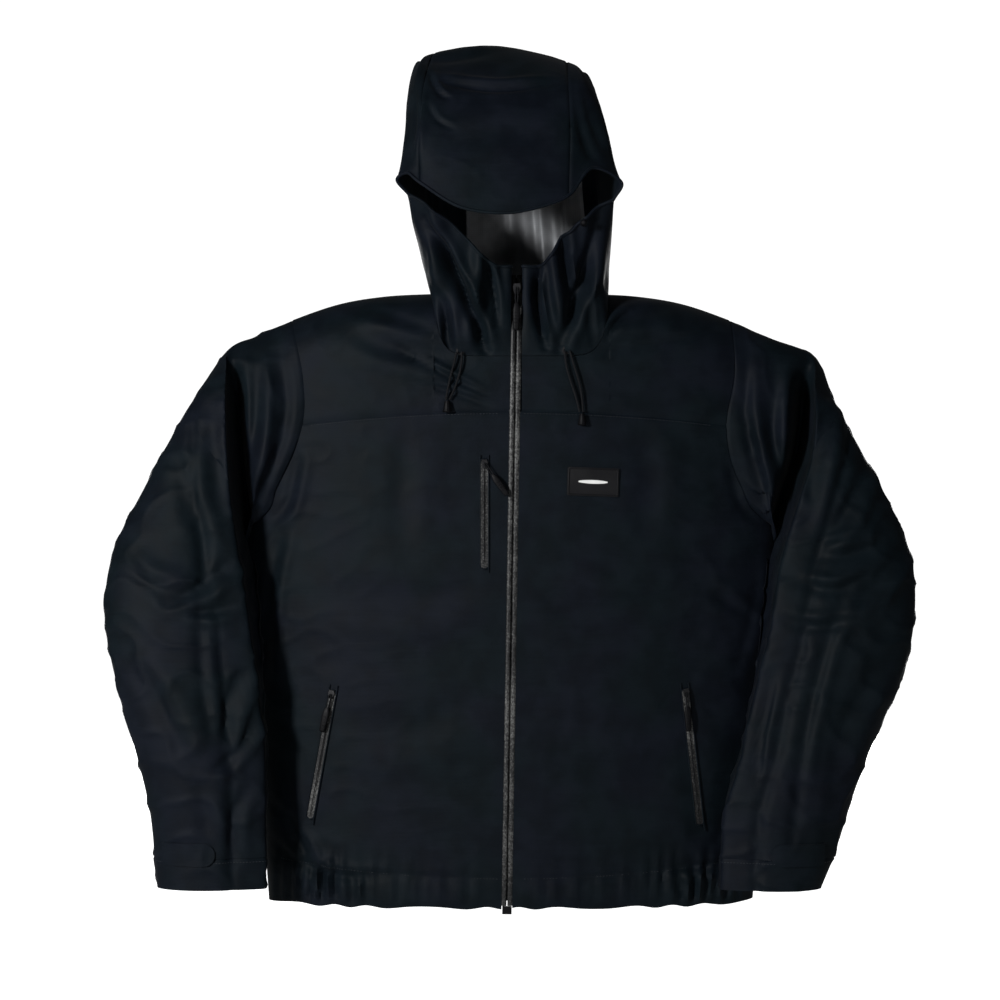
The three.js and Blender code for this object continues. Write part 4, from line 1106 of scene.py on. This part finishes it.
def pull(name, node_name, body, hinge, up, outward, length):
    """Cord loop through the slider with a moulded grip on its end."""
    place = frame_at(hinge, up, outward)
    grip_top = -0.36 * length
    sections = [(grip_top, 1.6, 1.1, 1.3), (grip_top - 1.2 * MM, 2.6, 1.5, 1.4),
                (-0.50 * length, 3.9, 1.8, 1.5), (-0.62 * length, 4.1, 1.9, 1.5),
                (-0.80 * length, 3.5, 1.7, 1.4), (-0.95 * length, 3.2, 1.6, 1.3),
                (-0.985 * length, 2.6, 1.2, 1.3), (-length, 1.4, 0.6, 1.3)]
    grip_v, grip_f = lofted([(z, w * MM, t * MM, c * MM) for z, w, t, c in sections])
    ribs = []
    for step in range(4):
        z = (-0.60 - 0.075 * step) * length
        ribs.append(tube([(-2.6 * MM, 3.3 * MM, z), (0, 3.6 * MM, z), (2.6 * MM, 3.3 * MM, z)], 0.45 * MM, 6))
    v, f = joined([(grip_v, grip_f)] + ribs)
    grip = solid(f"{name}_grip", placed(v, place), f, moulded)
    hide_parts(node_name)
    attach(grip, body)
    low, knee = grip_top / MM - 2.5, -0.22 * length / MM
    loop = [(-1.0, 1.2, low), (-1.35, 1.3, knee), (-1.2, 1.5, -2.2), (0, 1.7, -0.6), (1.2, 1.5, -2.2),
            (1.35, 1.3, knee), (1.0, 1.2, low)]
    v, f = tube(spline(np.array(loop) * MM, 40), 0.75 * MM, 8)
    strap = solid(f"{name}_loop", placed(v, place), f, cord)
    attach(strap, body)


def rotated(vector, axis, angle):
    return np.array(Matrix.Rotation(angle, 3, Vector(axis)) @ Vector(vector))


def pocket_zip(name, top_x, top_z, bottom_x, bottom_z, lean):
    """Slit, welded rim and pull of a pocket zip; the tape and slider keep their solids."""
    middle = ((top_x + bottom_x) / 2, (top_z + bottom_z) / 2)
    outward = front_normal(*middle)
    proud = 3.1 * MM
    steps = np.linspace(0.03, 0.97, 30)
    line = [front_spot(mix(bottom_x, top_x, t), mix(bottom_z, top_z, t), proud) for t in steps]
    level = min(point[1] for point in line)
    line = np.array([(p[0], mix(p[1], level, 0.2), p[2]) for p in line])
    up = line[-1] - line[0]
    up /= np.linalg.norm(up)
    across = np.cross(outward, up)
    half = 4.9 * MM
    rim = []
    for angle in np.linspace(0, np.pi, 12):
        rim.append(line[-1] + half * (math.cos(angle) * across + math.sin(angle) * up))
    rim = [line[0] + half * across] + rim + [line[0] - half * across]
    for angle in np.linspace(0, np.pi, 12)[1:-1]:
        rim.append(line[0] - half * (math.cos(angle) * across + math.sin(angle) * up))
    rim.append(rim[0] + 0.5 * (rim[1] - rim[0]) * 0.1)
    even = spline(np.array(rim), 150)
    even[:, 1] += 1.6 * MM
    v, f = tube(even, 0.8 * MM, 8)
    welt = solid(f"{name}_zip_welt", v, f, shell)
    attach(welt, "shell")
    taper = np.sin(np.pi * np.linspace(0.02, 0.98, 30)) ** 0.3
    v, f = tube(line, 0.55 * MM, 6, taper=taper)
    slit = solid(f"{name}_zip_slit", v, f, moulded)
    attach(slit, "shell")
    leaning = rotated(up, outward, lean)
    top = front_spot(top_x, top_z) - up * 4 * MM + outward * 5.4 * MM
    pull(f"{name}_pull", f"{name}_zip_pull", f"{name}_pull", top, leaning, outward, 46 * MM)


for name, numbers in POCKET_ZIPS.items():
    pocket_zip(name, *numbers)
zip_line = np.array([zip_x(CHIN_Z) - zip_x(HEM_Z), 0, CHIN_Z - HEM_Z])
hinge_z = 13 * MM
main_hinge = (zip_x(hinge_z), MID_Y - FRONT_DEPTH - 4.2 * MM, hinge_z)
pull("main_pull", "main_zip_pull", "main_pull", main_hinge, zip_line, (0, -1, 0), 50 * MM)


# ------------------------------------------------------------------ cords, patch and small parts
def cad(name, material):
    """Gives a node that keeps its solid its finish."""
    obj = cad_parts[name]
    for place in obj.material_slots:
        place.material = material


for name in ("chest_zip", "left_hand_zip", "right_hand_zip"):
    cad(name, coated_zip)
for name in ("main_zip_slider", "chest_zip_slider", "left_hand_zip_slider", "right_hand_zip_slider",
             "left_drawcord_eyelet", "right_drawcord_eyelet"):
    cad(name, dark_metal)
for name in ("main_zip_box", "left_drawcord_end", "right_drawcord_end", "hood_cord_toggle",
             "left_hem_cord_lock", "right_hem_cord_lock", "left_hem_lock_button", "right_hem_lock_button"):
    cad(name, moulded)
cad("hem_cord", cord)
cad("hang_loop", webbing)
cad("hood_brim", shell)
cad("chest_patch", rubber)


# ------------------------------------------------------------------ drawcords
CORD_PROUD = 5 * MM
CORD_DIAMETER = 2.6 * MM
DRAWCORDS = {
    "left": {"inner": [(-57, -62), (-57.5, -75), (-60.5, -90), (-66, -106), (-71.5, -118)],
             "outer": [(-63, -62), (-66, -75), (-70, -90), (-73.5, -106), (-75.5, -118)]},
    "right": {"inner": [(62, -61), (64, -78), (69, -96), (75, -114), (79.5, -132)],
              "outer": [(68, -61), (73, -78), (78.5, -96), (82, -114), (83.5, -132)]},
}


def smooth_front(x_mm, z_mm):
    """The front without its creases, which the cords hang clear of."""
    x, z = x_mm * MM, z_mm * MM
    full = float(fullness(np.array(x), np.array(z)))
    return np.array([x, MID_Y - 2 * MM - (FRONT_DEPTH - 2 * MM) * full, z])


def drawcord(side, strand, route):
    """One strand of a drawcord along its given route."""
    line = np.array([smooth_front(x, z) for x, z in route])
    line[:, 1] -= CORD_PROUD
    path = spline(line, 30)
    v, f = tube(path, CORD_DIAMETER / 2, 12)
    obj = solid(f"{side}_drawcord_{strand}_strand", v, f, cord, sharp=80)
    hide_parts(f"{side}_drawcord_{strand}")
    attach(obj, "shell")


for side, strands in DRAWCORDS.items():
    for strand, route in strands.items():
        drawcord(side, strand, route)


# ------------------------------------------------------------------ inner layers
def inner_layer(name, node_name, x_range, z_range, depth, materials, along_zip=False):
    """Flat layer of cloth hanging `depth` behind the front."""
    x, z = np.meshgrid(np.linspace(*x_range, count(x_range[1] - x_range[0])),
                       np.linspace(*z_range, count(z_range[1] - z_range[0])))
    x = x + zip_x(z) * along_zip
    grid = front_points(x, z)
    grid[..., 1] += depth + noise_field(grid, 0.04, shift=depth * 900) * 0.9 * MM
    obj = skin(name, grid, normals_of(grid, BODY_MIDDLE), materials, thickness=1.0 * MM)
    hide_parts(node_name)
    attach(obj, "shell")
    return obj


inner_layer("zip_flap", "storm_flap", (-17 * MM, 17 * MM), (HEM_Z + 8 * MM, CHIN_Z - 6 * MM), 5.5 * MM,
            [shell, lining], along_zip=True)
inner_layer("chin_facing", "chin_guard", (-20 * MM, 20 * MM), (CHIN_Z - 36 * MM, CHIN_Z - 4 * MM), 9 * MM,
            [lining, lining], along_zip=True)
for name, x, z, width, height in (("chest", -78, -262, 112, 150), ("left_hand", -150, -560, 130, 220),
                                  ("right_hand", 140, -560, 130, 220)):
    inner_layer(f"{name}_bag", f"{name}_pocket_bag", ((x - width / 2) * MM, (x + width / 2) * MM),
                ((z - height / 2) * MM, (z + height / 2) * MM), 9 * MM, [lining, lining])


# ------------------------------------------------------------------ patch and cuff tabs
def patch_face():
    """Raised rim and a plain printed bar on the chest patch."""
    low, high = (np.array(corner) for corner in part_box("chest_patch"))
    centre = (low + high) / 2
    outward = front_normal(95, -213, 20)
    place = frame_at(centre, (0.035, 0, 1), outward)
    w, h, r = 28.6 * MM, 15.1 * MM, 1.6 * MM
    rim = []
    for corner, (sx, sz) in enumerate(((1, 1), (-1, 1), (-1, -1), (1, -1))):
        cx, cz = sx * (w - r), sz * (h - r)
        for angle in np.linspace(corner * np.pi / 2, (corner + 1) * np.pi / 2, 6):
            rim.append((cx + r * math.cos(angle), 1.1 * MM, cz + r * math.sin(angle)))
    rim.append(rim[0])
    v, f = tube(rim, 0.7 * MM, 8)
    edge = solid("patch_rim", placed(v, place), f, rubber)
    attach(edge, "shell")
    bar = [(x * MM, 1.05 * MM, 0) for x in np.linspace(-17, 17, 24)]
    v, f = tube(bar, 2.2 * MM, 12, taper=np.sqrt(np.sin(np.pi * np.linspace(0.04, 0.96, 24))))
    v[:, 1] = 1.05 * MM + (v[:, 1] - 1.05 * MM) * 0.22
    stripe = solid("patch_bar", placed(v, place), f, print_white)
    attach(stripe, "shell")


patch_face()


def cuff_tab(side):
    """Hook-and-loop tab lying on the front of the cuff, round at its free end."""
    s = SIGN[side]
    rows, columns = 18, 40
    u, v = np.meshgrid(np.linspace(0, 1, columns), np.linspace(-1, 1, rows))
    front = sleeve_grid(side, CUFF_START - 0.9, CUFF_START + 0.4, 60)[0][:, :64]
    outer = {"left": 0.410, "right": 0.368}[side]
    x = outer - 9 * MM - u * 62 * MM
    past = np.maximum(u - 0.79, 0) / 0.21
    z = -0.640 + v * 0.013 * np.sqrt(1 - 0.94 * past**2)
    flat = np.stack([np.abs(front[..., 0]).ravel(), front[..., 2].ravel()], 1)
    heights = front[..., 1].ravel()
    spots = np.stack([x.ravel(), z.ravel()], 1)
    gap = ((spots[:, None] - flat[None]) ** 2).sum(2)
    weight = np.exp(-gap / (4 * MM) ** 2) + 1e-12
    y = ((weight * heights).sum(1) / weight.sum(1)).reshape(x.shape)
    tab = np.stack([s * x, y - 2.6 * MM, z], -1)
    normals = normals_of(tab, (s * 0.33, MID_Y, -0.64))
    obj = skin(f"{side}_tab_cloth", tab, normals, [shell, webbing], thickness=1.3 * MM)
    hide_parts(f"{side}_cuff_tab")
    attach(obj, f"{side}_tab")


for side in ("left", "right"):
    cuff_tab(side)


# ------------------------------------------------------------------ rolled edge and stitching
def rolled_edge():
    """Cloth rolled round a cord along the rim of the hood and collar."""
    rim = hood_grid(0, LAST_LINE)[0]
    left, right = collar_grid("left")[-1], collar_grid("right")[-1]
    path = np.concatenate([left[:-1], rim, right[:-1][::-1]])
    path[:, 1] -= 0.6 * MM
    sides = 10
    v, f = tube(path, 1.9 * MM, sides)
    obj = solid("hood_rolled_edge", v, f, shell, sharp=80)
    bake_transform(obj)


rolled_edge()

STITCH, STITCH_GAP = 2.6 * MM, 1.1 * MM


def stitches(name, path, body):
    """A row of stitches along points that lie on the cloth."""
    steps = np.linalg.norm(np.diff(path, axis=0), axis=1)
    along = np.concatenate([[0], np.cumsum(steps)])
    parts = []
    for start in np.arange(STITCH_GAP, along[-1] - STITCH, STITCH + STITCH_GAP):
        at = start + STITCH * np.array([0, 0.3, 0.7, 1])
        points = np.stack([np.interp(at, along, path[:, k]) for k in range(3)], 1)
        parts.append(tube(points, 0.34 * MM, 5, taper=[0.4, 1, 1, 0.4]))
    obj = solid(name, *joined(parts), thread, sharp=80)
    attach(obj, body)


def seam_row(name, line_z, x_from, x_to, points):
    """Stitches across the torso at the height line_z(x)."""
    x = np.linspace(x_from, x_to, 160)
    stitches(name, points(x, line_z(x)), "shell")


def under_yoke(x):
    return YOKE_Z - YOKE_DROP * (x / 0.25) ** 2 - 2.6 * MM


def under_back_yoke(x):
    return YOKE_Z - YOKE_DROP - 2.6 * MM + 0 * x


def above_hem(x):
    return hem_channel_z(x) + 0 * x


for side in ("left", "right"):
    s = SIGN[side]
    middle = 0.5 * (zip_x(HEM_Z) + zip_x(YOKE_Z))
    seam_row(f"{side}_yoke_stitches", under_yoke, middle + s * 14 * MM, s * 236 * MM, front_points)
    seam_row(f"{side}_hem_stitches", above_hem, middle + s * 14 * MM, s * 272 * MM, front_points)
seam_row("back_yoke_stitches", under_back_yoke, -232 * MM, 232 * MM, back_points)
seam_row("back_hem_stitches", above_hem, -272 * MM, 272 * MM, back_points)
for side in ("left", "right"):
    ring = sleeve_grid(side, CUFF_START + 0.1, CUFF_START + 0.12, 2)[0]
    stitches(f"{side}_cuff_stitches", np.vstack([ring[0], ring[0][:1]]), f"{side}_lower_arm")


# ------------------------------------------------------------------ light and floor
def area_light(name, location, target, size, power):
    """A square lamp that points at its target."""
    data = bpy.data.lights.new(name, "AREA")
    data.size = size
    data.energy = power
    obj = bpy.data.objects.new(name, data)
    obj.location = location
    obj.rotation_euler = (Vector(target) - Vector(location)).to_track_quat("-Z", "Y").to_euler()
    bpy.context.scene.collection.objects.link(obj)


area_light("key", (-1.7, -2.4, 0.30), (0, 0, -0.25), 0.35, 90)
area_light("fill", (0.9, -2.8, -0.9), (0, 0, -0.1), 0.8, 22)
area_light("back_left", (-0.9, 2.8, -0.5), (0, 0, -0.3), 1.4, 42)
area_light("back_right", (0.8, 2.9, -0.4), (0, 0, -0.3), 1.4, 55)

world = bpy.data.worlds.new("studio")
bpy.context.scene.world = world
world.use_nodes = True
wn, wl = world.node_tree.nodes, world.node_tree.links
wn.clear()
path = wn.new("ShaderNodeLightPath")
paper = node(wn, wl, "ShaderNodeBackground", {"Color": (1, 1, 1, 1), "Strength": 1.1})
ambient = node(wn, wl, "ShaderNodeBackground", {"Color": (0.9, 0.95, 1, 1), "Strength": 0.09})
choice = node(wn, wl, "ShaderNodeMixShader",
              {0: path.outputs["Is Camera Ray"], 1: ambient.outputs[0], 2: paper.outputs[0]})
wl.new(choice.outputs[0], wn.new("ShaderNodeOutputWorld").inputs[0])

bpy.context.scene.view_settings.view_transform = "Standard"


# ------------------------------------------------------------------ floor
def floor_material():
    """Pale paper: plain white where the camera sees it, soft white bounce light for the jacket."""
    material, nodes, links, shader = tree("floor_paper")
    place = nodes.new("ShaderNodeTexCoord").outputs["Object"]
    grain = node(nodes, links, "ShaderNodeTexNoise", {"Vector": place, "Scale": 400.0, "Detail": 3.0})
    colour = ramp(nodes, links, grain.outputs[0], [(0.3, (0.74, 0.74, 0.73)), (0.7, (0.80, 0.80, 0.79))])
    links.new(colour, shader.inputs["Base Color"])
    shader.inputs["Roughness"].default_value = 0.9
    seen = nodes.new("ShaderNodeLightPath").outputs["Is Camera Ray"]
    links.new(seen, shader.inputs["Emission Strength"])
    shader.inputs["Emission Color"].default_value = (1, 1, 1, 1)
    return material


FLOOR_Z, FLOOR_HALF = -0.80, 3.0
corners = [(x * FLOOR_HALF, y * FLOOR_HALF, FLOOR_Z) for x, y in ((-1, -1), (1, -1), (1, 1), (-1, 1))]
floor = new_object("floor", corners, [(0, 1, 2, 3)], [floor_material()])
